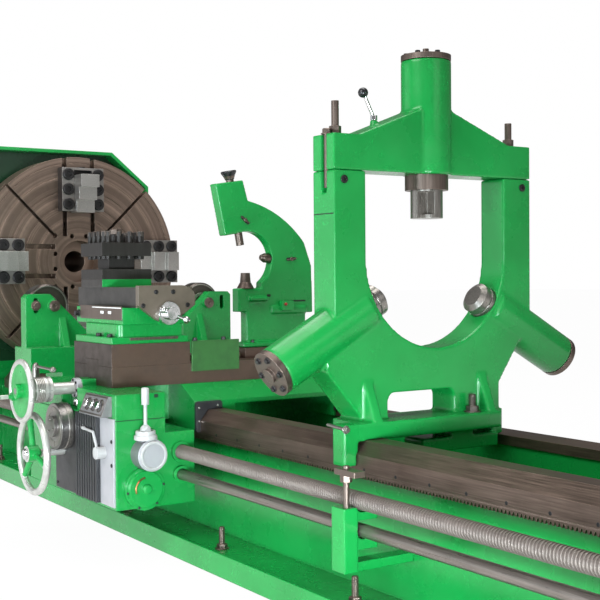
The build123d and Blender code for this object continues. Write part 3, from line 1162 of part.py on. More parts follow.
ARM_PLUNGER_REACH = (250, 680)
ARM_TIP = 14
ARM_TIP_R = 40
RING_AT = 290
RING_W = 6
RING_D = 4
for angle, label in zip(STEADY_ANGLES, ("steady_plunger_front", "steady_plunger_rear")):
    with BuildPart() as arm_plunger:
        tip_end = ARM_PLUNGER_REACH[0] + ARM_TIP
        taper(on_arm(angle, ARM_PLUNGER_REACH[0]), outward(angle), ARM_TIP_R, ARM_PLUNGER_R, ARM_TIP)
        bar(on_arm(angle, tip_end), outward(angle), ARM_PLUNGER_R, ARM_PLUNGER_REACH[1] - tip_end)
        with BuildSketch(Plane(on_arm(angle, RING_AT), z_dir=outward(angle))):
            Circle(ARM_PLUNGER_R + 1)
            Circle(ARM_PLUNGER_R - RING_D, mode=Mode.SUBTRACT)
        extrude(amount=RING_W, mode=Mode.SUBTRACT)
    save(arm_plunger, label)

# Steel fittings of the steady rest: studs and nuts of the bridge, plunger collar and bore caps
STUD_TOPS = ((-STUD_Y, 1697), (STUD_Y, 1673))
NUT_R = 21
NUT_H = 30
COLLAR_LOW = 1405
COLLAR_R = 78
CAP_T = 22
CAP_HUB = (26, 34)
TOP_CAP_T = 20
TOP_CAP_STUD = (11, 46)
with BuildPart() as steady_fittings:
    for side, stud_top in STUD_TOPS:
        bar((STEADY_MID, side, STEADY_SPLIT), UP, STEADY_STUD_R, stud_top - STEADY_SPLIT)
        with BuildSketch(Plane.XY.offset(STEADY_SHOULDER)):
            with Locations((STEADY_MID, side)):
                RegularPolygon(NUT_R, 6)
        extrude(amount=NUT_H)
    bar((STEADY_MID, 0, COLLAR_LOW), UP, COLLAR_R, STEADY_SPLIT - COLLAR_LOW)
    collar_length = STEADY_SPLIT - COLLAR_LOW + 2
    bar((STEADY_MID, 0, COLLAR_LOW - 1), UP, TOP_PLUNGER_R + FIT, collar_length, Mode.SUBTRACT)
    bar((STEADY_MID, 0, STEADY_TOP), UP, STEADY_BOSS_R, TOP_CAP_T)
    bar((STEADY_MID, 0, STEADY_TOP), UP, *TOP_CAP_STUD)
    for angle in STEADY_ANGLES:
        bar(on_arm(angle, STEADY_ARM_END), outward(angle), STEADY_ARM_R, CAP_T)
        bar(on_arm(angle, STEADY_ARM_END), outward(angle), *CAP_HUB)
save(steady_fittings, "steady_fittings")

# Clamp lever on the bridge
LEVER_HUB = (12, 16)
LEVER_ROD_R = 6
LEVER_RISE = 92
LEVER_LEAN = -0.52
LEVER_BALL_R = 17
with BuildPart() as steady_lever:
    hub = (LEVER_BOSS[0], LEVER_BOSS[1], LEVER_BOSS_TOP + GAP)
    bar(hub, UP, *LEVER_HUB)
    bar((hub[0], hub[1], hub[2] + LEVER_ROD_R), (0, LEVER_LEAN, 1), LEVER_ROD_R, LEVER_RISE)
    ball((hub[0], hub[1] - LEVER_RISE / 2, hub[2] + LEVER_RISE), LEVER_BALL_R)
save(steady_lever, "steady_lever")

# Tailstock base on the slideways
TAIL_BASE_HALF = 440
TAIL_BASE_LOW = 486
with BuildPart() as tail_base:
    block(TAIL_X, (-TAIL_BASE_HALF, TAIL_BASE_HALF), (TAIL_BASE_LOW, TAIL_BASE_TOP))
    clear_ways(TAIL_X)
save(tail_base, "tail_base")

# Tailstock body: a tapered pillar under a round barrel
TAIL_PILLAR = [(-360, TAIL_BASE_TOP), (360, TAIL_BASE_TOP), (330, 820), (185, 1180), (-185, 1180),
               (-330, 820)]
PILLAR_X = (TAIL_X[0] + 20, TAIL_X[1] - 60)
BARREL_WALL = 40
TAIL_SHAFT_R = 25
with BuildPart() as tail_body:
    along_x(TAIL_PILLAR, PILLAR_X)
    barrel_length = BARREL_X[1] - BARREL_X[0]
    bar((BARREL_X[0], 0, SPINDLE_Z), ALONG, BARREL_R, barrel_length)
    bar((BARREL_X[0] - 1, 0, SPINDLE_Z), ALONG, QUILL_R + FIT, barrel_length - BARREL_WALL, Mode.SUBTRACT)
    bar((BARREL_X[0], 0, SPINDLE_Z), ALONG, TAIL_SHAFT_R + FIT, barrel_length + 1, Mode.SUBTRACT)
save(tail_body, "tail_body")

# Quill with its centre point
CENTRE_R = 58
CENTRE_NECK = 40
CENTRE_LENGTH = 140
with BuildPart() as quill:
    bar((QUILL_X[0], 0, SPINDLE_Z), ALONG, QUILL_R, QUILL_X[1] - QUILL_X[0])
    neck = (QUILL_X[0] - CENTRE_NECK, 0, SPINDLE_Z)
    bar(neck, ALONG, CENTRE_R, CENTRE_NECK + 1)
    taper(neck, BACK_ALONG, CENTRE_R, 1, CENTRE_LENGTH - CENTRE_NECK)
save(quill, "quill")

# Tailstock handwheel
TAIL_RIM = 16
TAIL_HUB = 36
TAIL_SPOKES = 4
TAIL_FIRST = 45
with BuildPart() as tail_handwheel:
    centre = (TAIL_WHEEL_X, 0, SPINDLE_Z)
    handwheel(centre, ALONG, TAIL_WHEEL_R, TAIL_RIM, TAIL_HUB, TAIL_SPOKES, TAIL_FIRST)
    bar(centre, BACK_ALONG, TAIL_SHAFT_R, TAIL_WHEEL_X - BARREL_X[1] + BARREL_WALL - 2)
save(tail_handwheel, "tail_handwheel")
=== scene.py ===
"""Looks of the heavy duty lathe: finishes for every solid, and the small fittings round them.

Metres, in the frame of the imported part: +X to the tailstock, -Y to the operator, +Z up.
"""
import math
from contextlib import contextmanager
from itertools import product

import bmesh
import bpy
from mathutils import Matrix, Vector


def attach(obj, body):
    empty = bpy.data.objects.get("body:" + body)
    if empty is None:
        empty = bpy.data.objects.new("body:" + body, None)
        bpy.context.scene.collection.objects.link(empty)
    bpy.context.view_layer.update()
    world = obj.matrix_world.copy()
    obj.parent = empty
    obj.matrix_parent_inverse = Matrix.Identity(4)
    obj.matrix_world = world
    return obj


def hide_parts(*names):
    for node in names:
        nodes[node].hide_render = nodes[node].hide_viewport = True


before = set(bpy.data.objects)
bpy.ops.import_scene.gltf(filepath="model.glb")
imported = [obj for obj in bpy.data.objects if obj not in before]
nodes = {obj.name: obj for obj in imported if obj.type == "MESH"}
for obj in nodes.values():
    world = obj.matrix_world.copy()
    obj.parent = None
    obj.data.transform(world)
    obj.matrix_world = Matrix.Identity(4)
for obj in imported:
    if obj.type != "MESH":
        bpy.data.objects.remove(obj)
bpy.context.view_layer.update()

TURN = 2 * math.pi
X_AXIS = Vector((1, 0, 0))
Y_AXIS = Vector((0, 1, 0))
Z_AXIS = Vector((0, 0, 1))
TO_OPERATOR = -Y_AXIS
SPINDLE_Z = 1.2
SADDLE_END = 2.42
SADDLE_FRONT = -0.846
ROLLER_Y, ROLLER_Z = 0.458, 0.955
CROSS_FEED_X, CROSS_FEED_Z = 1.95, 0.641
TRAVERSE_X, TRAVERSE_Z = 1.9, 0.373
DIAL_FOOT = Vector((1.94, -0.912, 0.484))
BARREL_FACE = 4.77

# Colours, linear
GREEN = (0.006, 0.275, 0.05)
GREEN_DEEP = (0.004, 0.2, 0.034)
PRIMER = (0.02, 0.05, 0.025)
STEEL = (0.36, 0.325, 0.295)
DARK_STEEL = (0.14, 0.115, 0.1)
BROWN_STEEL = (0.2, 0.15, 0.125)
BROWN_WAY = (0.098, 0.058, 0.042)
BED_WAY = (0.19, 0.13, 0.103)
PLATE = (0.225, 0.16, 0.125)
END_PLATE = (0.135, 0.106, 0.08)
POST_STEEL = (0.036, 0.03, 0.027)
OLIVE = (0.045, 0.15, 0.04)
SILVER = (0.37, 0.36, 0.375)
CREAM_STEEL = (0.56, 0.54, 0.5)
CHROME = (0.75, 0.75, 0.75)
BLACK_STEEL = (0.03, 0.027, 0.027)
GREEN_SHADED = (0.008, 0.035, 0.014)
COPPER = (0.45, 0.16, 0.07)


# Shader node helpers: those that are given a socket take its tree
def put(tree, kind, inputs=None, **settings):
    """Add a node, set its settings, and link or fill its inputs."""
    made = tree.nodes.new(kind)
    for key, value in settings.items():
        setattr(made, key, value)
    for key, value in (inputs or {}).items():
        if isinstance(value, bpy.types.NodeSocket):
            tree.links.new(value, made.inputs[key])
        else:
            made.inputs[key].default_value = value
    return made


def noise(coords, scale, detail, roughness=0.55):
    """Soft random value from 0 to 1."""
    made = put(coords.id_data, "ShaderNodeTexNoise",
               {"Vector": coords, "Scale": scale, "Detail": detail, "Roughness": roughness})
    return made.outputs["Fac"]


def remap(value, low, high, to_low=0.0, to_high=1.0):
    """Stretch a value from one range to another, clamped."""
    made = put(value.id_data, "ShaderNodeMapRange", {"Value": value, "From Min": low, "From Max": high,
                                                     "To Min": to_low, "To Max": to_high})
    return made.outputs["Result"]


def calc(operation, a, b=0.0):
    """One arithmetic step."""
    return put(a.id_data, "ShaderNodeMath", {0: a, 1: b}, operation=operation).outputs[0]


def vector_calc(operation, a, b=(0, 0, 0)):
    """One vector step."""
    return put(a.id_data, "ShaderNodeVectorMath", {0: a, 1: b}, operation=operation)


def mix(amount, a, b):
    """Blend two colours."""
    made = put(amount.id_data, "ShaderNodeMix", {"Factor": amount}, data_type="RGBA")
    for socket, value in ((made.inputs[6], a), (made.inputs[7], b)):
        if isinstance(value, bpy.types.NodeSocket):
            value.id_data.links.new(value, socket)
        else:
            socket.default_value = (*value, 1)
    return made.outputs[2]


def shade(color, amount):
    """A colour made darker or brighter."""
    return tuple(min(1.0, amount * c) for c in color)


def edge_mask(tree, radius):
    """1 along sharp edges, 0 on open faces, with the rounded normal."""
    rounded_normal = put(tree, "ShaderNodeBevel", {"Radius": radius}, samples=6).outputs["Normal"]
    flat = put(tree, "ShaderNodeNewGeometry").outputs["Normal"]
    same = vector_calc("DOT_PRODUCT", rounded_normal, flat).outputs["Value"]
    return remap(same, 0.985, 0.86), rounded_normal


def bump(height, strength, distance, normal):
    """Small relief on top of a normal."""
    made = put(height.id_data, "ShaderNodeBump",
               {"Height": height, "Strength": strength, "Distance": distance, "Normal": normal})
    return made.outputs["Normal"]


def distance_round(coords, centre, axis):
    """Distance from a line through a centre, and the place along it."""
    away = vector_calc("SUBTRACT", coords, centre).outputs[0]
    keep = {"X": (0, 1, 1), "Y": (1, 0, 1)}[axis]
    flat = vector_calc("MULTIPLY", away, keep).outputs[0]
    radius = vector_calc("LENGTH", flat).outputs["Value"]
    along = put(away.id_data, "ShaderNodeSeparateXYZ", {0: away}).outputs["XYZ".index(axis)]
    return radius, along


def shader(name, **constants):
    """New material with constant values set, its tree, and the place on the object in metres."""
    material = bpy.data.materials.new(name)
    material.use_nodes = True
    tree = material.node_tree
    for key, value in constants.items():
        tree.nodes["Principled BSDF"].inputs[key.replace("_", " ")].default_value = value
    return material, tree, put(tree, "ShaderNodeTexCoord").outputs["Object"]


def wire(material, color, roughness, normal):
    """Connect the three varying inputs of a finish, and give it back."""
    tree = material.node_tree
    for key, value in (("Base Color", color), ("Roughness", roughness), ("Normal", normal)):
        tree.links.new(value, tree.nodes["Principled BSDF"].inputs[key])
    return material


# Finishes
def enamel(name, dark=()):
    """Gloss machine enamel over a filled casting, worn at the edges, with painted shade between pairs of
    corners.
    """
    material, tree, coords = shader(name, Coat_Weight=0.12, Coat_Roughness=0.08, IOR=1.46)
    patches = noise(coords, 2.3, 4)
    grime = remap(noise(coords, 11, 6, 0.65), 0.54, 0.8, 0, 0.5)
    edges, rounded_normal = edge_mask(tree, 0.007)
    chips = calc("MULTIPLY", edges, remap(noise(coords, 34, 5, 0.7), 0.6, 0.68))
    painted = mix(remap(patches, 0.35, 0.7), GREEN_DEEP, GREEN)
    painted = mix(grime, painted, GREEN_DEEP)
    painted = mix(calc("MULTIPLY", edges, 0.25), painted, shade(GREEN, 1.5))
    painted = mix(chips, painted, PRIMER)
    # Painted shade: near black green between the corners of each zone
    for low, high in dark:
        painted = mix(inside(coords, low, high), painted, GREEN_SHADED)
    gloss = remap(noise(coords, 7, 5), 0.3, 0.75, 0.2, 0.38)
    normal = bump(noise(coords, 9, 2), 0.25, 0.004, rounded_normal)
    normal = bump(noise(coords, 150, 2), 0.1, 0.0006, normal)
    return wire(material, painted, gloss, normal)


def ground(name, color, along, roughness, stain, metallic=0.85, edge=0.0025, bright=1.9):
    """Machined metal: fine streaks along one axis, oil stains, bright worn edges."""
    material, tree, coords = shader(name, Metallic=metallic)
    stretch = {"X": (6, 260, 260), "Z": (260, 260, 6)}[along]
    stretched = put(tree, "ShaderNodeMapping", {"Vector": coords, "Scale": stretch}).outputs["Vector"]
    streaks = noise(stretched, 1.0, 3, 0.6)
    broad = noise(coords, 5.5, 5, 0.6)
    oil = remap(noise(coords, 3.1, 6, 0.62), 0.48, 0.74, 0, stain)
    edges, rounded_normal = edge_mask(tree, edge)
    surface = mix(remap(streaks, 0.3, 0.7), shade(color, 0.62), color)
    surface = mix(oil, surface, shade(color, 0.45))
    surface = mix(calc("MULTIPLY", edges, 0.7), surface, shade(color, bright))
    rough = remap(calc("ADD", streaks, broad), 0.7, 1.3, *roughness)
    return wire(material, surface, rough, bump(streaks, 0.12, 0.0004, rounded_normal))


def turned(name, color, centre, axis, ring=420.0, roughness=(0.25, 0.45), stain=0.5, ring_sheen=1.35):
    """Metal faced on a lathe: fine rings round an axis, and broad brighter rings that are partly turning
    marks and partly a painted sheen.
    """
    material, tree, coords = shader(name, Metallic=0.85)
    radius, _ = distance_round(coords, centre, axis)
    outwards = put(tree, "ShaderNodeCombineXYZ", {"X": radius}).outputs[0]
    rings = noise(outwards, ring, 4, 0.7)
    broad_rings = noise(outwards, 22, 3, 0.6)
    oil = remap(noise(coords, 4.0, 6, 0.62), 0.46, 0.74, 0, stain)
    edges, rounded_normal = edge_mask(tree, 0.003)
    surface = mix(remap(rings, 0.3, 0.7), shade(color, 0.66), color)
    # Broad rings made brighter: partly turning marks, partly a painted sheen in place of the turned face's
    # reflections
    surface = mix(remap(broad_rings, 0.45, 0.7, 0, 0.7), surface, shade(color, ring_sheen))
    surface = mix(oil, surface, shade(color, 0.42))
    surface = mix(calc("MULTIPLY", edges, 0.6), surface, shade(color, 1.8))
    rough = remap(calc("ADD", rings, oil), 0.3, 1.0, *roughness)
    return wire(material, surface, rough, bump(rings, 0.22, 0.0006, rounded_normal))


def polished(name, color, roughness=(0.08, 0.22)):
    """Chrome or polished metal with faint smears."""
    material, tree, coords = shader(name, Metallic=1.0)
    smear = noise(coords, 26, 5, 0.6)
    _, rounded_normal = edge_mask(tree, 0.002)
    surface = mix(remap(smear, 0.45, 0.75, 0, 0.4), color, shade(color, 0.6))
    rough = remap(smear, 0.3, 0.7, *roughness)
    return wire(material, surface, rough, bump(smear, 0.05, 0.0004, rounded_normal))


def satin(name, color, roughness, grain, metallic=0.0, relief=0.18):
    """Moulded or cast surface with a fine grain."""
    material, tree, coords = shader(name, Metallic=metallic)
    fine = noise(coords, grain, 3, 0.6)
    broad = noise(coords, 14, 5, 0.6)
    edges, rounded_normal = edge_mask(tree, 0.002)
    surface = mix(remap(broad, 0.35, 0.7), shade(color, 0.72), color)
    surface = mix(calc("MULTIPLY", edges, 0.5), surface, shade(color, 1.7))
    rough = remap(broad, 0.3, 0.7, *roughness)
    return wire(material, surface, rough, bump(fine, relief, 0.0005, rounded_normal))


def wheel_finish(name, centre, axis, inner):
    """Handwheel: enamel inside a radius and near the wheel's plane, satin steel elsewhere."""
    material, tree, coords = shader(name)
    radius, along = distance_round(coords, centre, axis)
    rim = remap(radius, inner - 0.001, inner + 0.001)
    off_wheel = remap(calc("ABSOLUTE", along), 0.0295, 0.0305)
    steel = calc("MAXIMUM", rim, off_wheel)
    smear = noise(coords, 22, 5, 0.6)
    _, rounded_normal = edge_mask(tree, 0.003)
    painted = mix(remap(smear, 0.4, 0.75), GREEN, GREEN_DEEP)
    bright = mix(remap(smear, 0.4, 0.75), CREAM_STEEL, shade(CREAM_STEEL, 0.75))
    tree.links.new(calc("MULTIPLY", steel, 0.55), tree.nodes["Principled BSDF"].inputs["Metallic"])
    return wire(material, mix(steel, painted, bright), remap(smear, 0.3, 0.7, 0.24, 0.42),
                bump(smear, 0.08, 0.0006, rounded_normal))


def inside(coords, low, high):
    """1 between two corners, 0 outside them."""
    share = None
    for corner, fade in ((low, 0.0004), (high, -0.0004)):
        away = vector_calc("SUBTRACT", coords, corner).outputs[0]
        for place in put(coords.id_data, "ShaderNodeSeparateXYZ", {0: away}).outputs:
            part = remap(place, 0, fade)
            share = part if share is None else calc("MULTIPLY", share, part)
    return share


def zoned(name, color, zones, metallic, roughness=(0.28, 0.45), stain=0.45):
    """Satin coat in one colour, with other colours between pairs of corners."""
    material, tree, coords = shader(name, Metallic=metallic)
    smear = noise(coords, 18, 5, 0.6)
    edges, rounded_normal = edge_mask(tree, 0.0025)
    surface = color
    for other, low, high in zones:
        surface = mix(inside(coords, low, high), surface, other)
    stained = put(tree, "ShaderNodeHueSaturation", {"Value": 0.45, "Color": surface}).outputs[0]
    lighter = put(tree, "ShaderNodeHueSaturation", {"Value": 1.8, "Color": surface}).outputs[0]
    surface = mix(remap(smear, 0.4, 0.8, 0, stain), surface, stained)
    surface = mix(calc("MULTIPLY", edges, 0.5), surface, lighter)
    return wire(material, surface, remap(smear, 0.3, 0.7, *roughness),
                bump(smear, 0.06, 0.0005, rounded_normal))


green = enamel("green_enamel")
bed_way = ground("bed_way_steel", BED_WAY, "X", (0.3, 0.55), 0.7)
dark_steel = ground("dark_machined_steel", DARK_STEEL, "X", (0.3, 0.52), 0.6)
brown_steel = ground("brown_oiled_steel", BROWN_STEEL, "Z", (0.3, 0.5), 0.5)
bright_steel = ground("bright_turned_steel", STEEL, "Z", (0.22, 0.42), 0.35)
shaft_steel = ground("shaft_steel", (0.3, 0.255, 0.225), "X", (0.24, 0.45), 0.55)
black_steel = ground("black_oxide_steel", BLACK_STEEL, "Z", (0.32, 0.5), 0.3, 0.6, 0.0015, 4.0)
chrome = polished("chrome_trim", CHROME)
copper = polished("copper_trim", COPPER, (0.2, 0.4))
black_panel = satin("black_panel_coat", (0.02, 0.019, 0.021), (0.32, 0.5), 500)
black_ball = satin("black_ball_plastic", (0.012, 0.012, 0.013), (0.18, 0.3), 500, 0.0, 0.05)
rubber = satin("black_rubber", (0.016, 0.016, 0.018), (0.55, 0.75), 600)
white_grip = satin("white_grip", (0.42, 0.41, 0.4), (0.3, 0.45), 300)
panel_grey = satin("panel_grey", (0.2, 0.19, 0.19), (0.35, 0.5), 400, 0.3)
jaw_steel = ground("jaw_steel", (0.5, 0.47, 0.44), "X", (0.25, 0.42), 0.35)
thread_steel = ground("thread_steel", (0.19, 0.155, 0.135), "X", (0.42, 0.55), 0.35, 0.6)
red_cap = satin("red_cap", (0.42, 0.02, 0.02), (0.3, 0.45), 300)
glass_oil = satin("oil_sight_glass", (0.35, 0.17, 0.02), (0.08, 0.15), 200)
line_ink = satin("scale_ink", (0.03, 0.028, 0.026), (0.5, 0.7), 700)
white_ink = satin("scale_white", (0.75, 0.74, 0.72), (0.4, 0.6), 700)
# Dark joints and seams; the same dark sheets are painted shade inside vents, louvres, slots, grooves and the
# oil hole
joints_and_opening_shade = satin("dark_joint_and_opening_shade", (0.012, 0.016, 0.012), (0.7, 0.9), 500)
# The faceplate's broad rings carry a strong painted sheen
plate_face = turned("faceplate_turned", PLATE, (0, 0, SPINDLE_Z), "X", 420, (0.3, 0.5), 0.6, 2.4)
spindle_face = turned("spindle_turned", shade(PLATE, 1.3), (0, 0, SPINDLE_Z), "X")
dial_face = turned("dial_turned", (0.3, 0.275, 0.26), DIAL_FOOT, "Y", 700)
roller_front = turned("roller_front_turned", shade(DARK_STEEL, 0.7), (0, -ROLLER_Y, ROLLER_Z), "X", 600)
roller_rear = turned("roller_rear_turned", shade(DARK_STEEL, 0.7), (0, ROLLER_Y, ROLLER_Z), "X", 600)

# Zones: two corners for the enamel's painted shade, and a colour with two corners for each of the others
# Painted shade: the headstock's end face behind the faceplate, in the shadow of the cover and plate, is
# painted near black green
HEAD_PAINTED_SHADE = ((-0.302, -1, 0.6), (-0.298, 1, 2))
# Painted shade: the faces of the cross slide and its way that look to the operator are painted darker brown
CROSS_FRONT_PAINTED_SHADE = (shade(BROWN_WAY, 0.4), (1.7, -0.7415, 0.6), (2.2, -0.7405, 0.9))
SIDE_COVER = (OLIVE, (2.1502, -0.378, 0.699), (2.161, -0.146, 0.831))
SLIDE_END = (END_PLATE, (2.1895, -0.7, 0.9), (2.22, -0.3, 1.1))
SLIDE_STEP = (GREEN, (1.8985, -0.7, 1.0605), (1.9, -0.4, 1.0935))
SLIDE_TOP = (GREEN, (1.9, -0.649, 1.0595), (2.189, -0.3, 1.0605))
BOX_FRONT = (shade(STEEL, 1.2), (0.0698, -1, 0), (0.0705, 1, 2.4))
SHAFT_BUSHES = (GREEN, (2.419, -0.62, 0.27), (2.44, -0.52, 0.46))
JOYSTICK_HOUSING = (shade(SILVER, 0.42), (2.419, -0.79, 0.35), (2.4895, -0.66, 0.4775))
QUILL_LINE_START = 4.67
QUILL_LINE_STEP = 0.005
QUILL_LINE_WIDTH = 0.0012
QUILL_LINE_Z = (1.3, 1.32)


def quill_lines():
    """Zones of the quill's scale, with every fifth line longer."""
    lines = []
    for step in range(20):
        half = 0.005 if step % 5 else 0.009
        x = QUILL_LINE_START + QUILL_LINE_STEP * step
        low, high = QUILL_LINE_Z
        lines.append((BLACK_STEEL, (x, -half, low), (x + QUILL_LINE_WIDTH, half, high)))
    return lines


FINISH = {
    "slideways": bed_way, "rack": bed_way,
    # The headstock's enamel carries painted shade on its end face behind the faceplate
    "headstock": enamel("headstock_enamel", dark=[HEAD_PAINTED_SHADE]),
    # The cross slide and its way carry painted shade on the faces that look to the operator
    "cross_slide": zoned("cross_slide_finish", BROWN_WAY, [CROSS_FRONT_PAINTED_SHADE], 0.3, (0.3, 0.5), 0.6),
    "cross_way": zoned("cross_way_finish", BROWN_WAY, [SIDE_COVER, CROSS_FRONT_PAINTED_SHADE], 0.3, (0.3, 0.5), 0.6),
    "top_slide": zoned("top_slide_finish", shade(POST_STEEL, 0.9), [SLIDE_END, SLIDE_STEP, SLIDE_TOP], 0.25),
    "tool_post": ground("post_steel", POST_STEEL, "Z", (0.35, 0.55), 0.4, 0.5, 0.0015, 2.6),
    "jaw_boxes": zoned("jaw_box_finish", BLACK_STEEL, [BOX_FRONT], 0.5),
    "jaw_1": jaw_steel, "jaw_2": jaw_steel, "jaw_3": jaw_steel, "jaw_4": jaw_steel,
    "faceplate": plate_face, "spindle": spindle_face, "lead_screw": thread_steel, "feed_rod": shaft_steel,
    "support_stud": brown_steel, "rest_roller_front": roller_front, "rest_roller_rear": roller_rear,
    "follow_plunger_top": brown_steel, "follow_plunger_side": brown_steel, "follow_plunger_low": brown_steel,
    "steady_plunger_top": bright_steel, "steady_plunger_front": bright_steel,
    "steady_plunger_rear": bright_steel, "steady_fittings": brown_steel,
    "quill": zoned("quill_finish", shade(STEEL, 1.2), quill_lines(), 0.7, (0.25, 0.4), 0.3),
    "traverse_dial": dial_face, "half_nut_lever": white_grip,
    "apron_fittings": zoned("apron_fittings_finish", SILVER, [SHAFT_BUSHES, JOYSTICK_HOUSING],
                            0.25, (0.3, 0.45), 0.25),
    "top_handle": chrome, "joystick": white_grip, "start_button": chrome, "stop_button": chrome,
    "jog_button": chrome, "steady_lever": chrome, "wipers": rubber, "apron_panel": black_panel,
    "button_panel": panel_grey,
    "cross_handwheel": wheel_finish("cross_wheel_finish", (CROSS_FEED_X, -1.051, CROSS_FEED_Z), "Y", 0.1085),
    "traverse_handwheel": wheel_finish("traverse_wheel_finish", (TRAVERSE_X, -0.986, TRAVERSE_Z), "Y", 0.144),
    "tail_handwheel": wheel_finish("tail_wheel_finish", (5.74, 0, SPINDLE_Z), "X", 0.168),
}
for name, node in nodes.items():
    node.data.materials.clear()
    node.data.materials.append(FINISH.get(name, green))

# Castings get soft, filled corners instead of sharp ones
CAST_VOXEL = {"steady_frame": 0.005, "steady_bridge": 0.005, "follow_rest": 0.004, "tail_body": 0.008}
for name, voxel in CAST_VOXEL.items():
    skin = nodes[name].modifiers.new("cast_skin", "REMESH")
    skin.mode = "VOXEL"
    skin.voxel_size = voxel
    skin.use_smooth_shade = True
    soften = nodes[name].modifiers.new("cast_soften", "SMOOTH")
    soften.factor = 0.5
    soften.iterations = 6


# Mesh helpers
SHARP_ANGLE = math.radians(33)


@contextmanager
def drawn(name, body, material, bevel=0.0):
    """Piece that rides a body: draw into the mesh that this gives."""
    bm = bmesh.new()
    yield bm
    bmesh.ops.recalc_face_normals(bm, faces=bm.faces)
    mesh = bpy.data.meshes.new(name)
    bm.to_mesh(mesh)
    bm.free()
    mesh.materials.append(material)
    for face in mesh.polygons:
        face.use_smooth = True
    mesh.set_sharp_from_angle(angle=SHARP_ANGLE)
    made = bpy.data.objects.new(name, mesh)
    bpy.context.collection.objects.link(made)
    if bevel:
        softened = made.modifiers.new("edge", "BEVEL")
        softened.width = bevel
        softened.segments = 2
        softened.limit_method = "ANGLE"
        softened.harden_normals = True
    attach(made, body)


def seat(place, x_axis, z_axis):
    """Matrix at a place, with its x and z along two axes."""
    z = Vector(z_axis).normalized()
    x = (Vector(x_axis) - z * z.dot(Vector(x_axis))).normalized()
    return Matrix.Translation(Vector(place)) @ Matrix((x, z.cross(x), z)).transposed().to_4x4()


def aim(place, axis, spin=0.0):
    """Matrix at a place, with its z along an axis and its x anywhere."""
    return seat(place, Vector(axis).orthogonal(), axis) @ Matrix.Rotation(spin, 4, "Z")


def on_end(x, y, z):
    """Seat on a face that looks along +X."""
    return seat((x, y, z), Y_AXIS, X_AXIS)


def on_front(x, y, z):
    """Seat on a face that looks to the operator."""
    return seat((x, y, z), X_AXIS, TO_OPERATOR)


def on_top(x, y, z):
    """Seat on a face that looks up."""
    return seat((x, y, z), X_AXIS, Z_AXIS)


def lathe(bm, at, profile, segments=28):
    """Turn a profile of (radius, height) points round the z axis of a matrix."""
    rings = []
    for radius, height in profile:
        angles = [TURN * i / segments for i in range(segments if radius else 1)]
        rings.append([bm.verts.new(at @ Vector((radius * math.cos(a), radius * math.sin(a), height)))
                      for a in angles])
    for low, high in zip(rings, rings[1:]):
        for i in range(segments):
            j = i + 1
            corners = (low[i % len(low)], low[j % len(low)], high[j % len(high)], high[i % len(high)])
            bm.faces.new(list(dict.fromkeys(corners)))


def globe(bm, place, radius, steps=12):
    """Ball about a point."""
    angles = [math.pi * i / steps for i in range(steps + 1)]
    profile = [(radius * math.sin(a), -radius * math.cos(a)) for a in angles]
    profile[0] = (0, -radius)
    profile[-1] = (0, radius)
    lathe(bm, aim(place, Z_AXIS), profile, 24)


def slab(bm, at, outline, thickness):
    """Flat plate: an outline in x and y of a matrix, thickened along its z."""
    low = [bm.verts.new(at @ Vector((x, y, 0))) for x, y in outline]
    high = [bm.verts.new(at @ Vector((x, y, thickness))) for x, y in outline]
    bm.faces.new(low[::-1])
    bm.faces.new(high)
    for i in range(len(low)):
        j = (i + 1) % len(low)
        bm.faces.new((low[i], low[j], high[j], high[i]))


def rounded(width, height, corner, steps=4):
    """Outline of a rectangle about the origin, with round corners."""
    points = []
    for side_x, side_y, first in ((1, 1, 0), (-1, 1, 90), (-1, -1, 180), (1, -1, 270)):
        for step in range(steps + 1):
            angle = math.radians(first + 90 * step / steps)
            points.append((side_x * (width / 2 - corner) + corner * math.cos(angle),
                           side_y * (height / 2 - corner) + corner * math.sin(angle)))
    return points


def tube(bm, points, radius, segments=14, closed=False):
    """Round bar through points, closed on itself or capped at both ends."""
    points = [Vector(p) for p in points]
    last = len(points) - 1
    rings = []
    side = None
    for i, point in enumerate(points):
        before = points[i - 1] if closed else points[max(i - 1, 0)]
        after = points[(i + 1) % len(points)] if closed else points[min(i + 1, last)]
        ahead = (after - before).normalized()
        side = ahead.orthogonal() if side is None else side
        side = (side - ahead * side.dot(ahead)).normalized()
        other = ahead.cross(side)
        rings.append([bm.verts.new(point + radius * (side * math.cos(TURN * k / segments)
                                                     + other * math.sin(TURN * k / segments)))
                      for k in range(segments)])
    pairs = list(zip(rings, rings[1:] + rings[:1])) if closed else list(zip(rings, rings[1:]))
    for low, high in pairs:
        for k in range(segments):
            n = (k + 1) % segments
            bm.faces.new((low[k], low[n], high[n], high[k]))
    if not closed:
        bm.faces.new(rings[0][::-1])
        bm.faces.new(rings[-1])


def hex_bolt(bm, place, axis, radius, height, spin=0.3):
    """Hexagon head on a washer."""
    at = aim(place, axis, spin)
    washer = 0.16 * height
    lathe(bm, at, [(0, 0), (1.3 * radius, 0), (1.3 * radius, washer), (0.8 * radius, washer)])
    lathe(bm, at, [(radius, 0.9 * washer), (radius, 0.86 * height), (0.84 * radius, height), (0, height)], 6)


def cap_screw(bm, place, axis, radius, height):
    """Round screw head with a hexagon socket."""
    at = aim(place, axis)
    rim = 0.86 * radius
    lathe(bm, at, [(0, 0), (radius, 0), (radius, 0.8 * height), (rim, height), (0.5 * radius, height)], 24)
    lathe(bm, at, [(0.58 * radius, 0.97 * height), (0.58 * radius, 0.3 * height), (0, 0.3 * height)], 6)


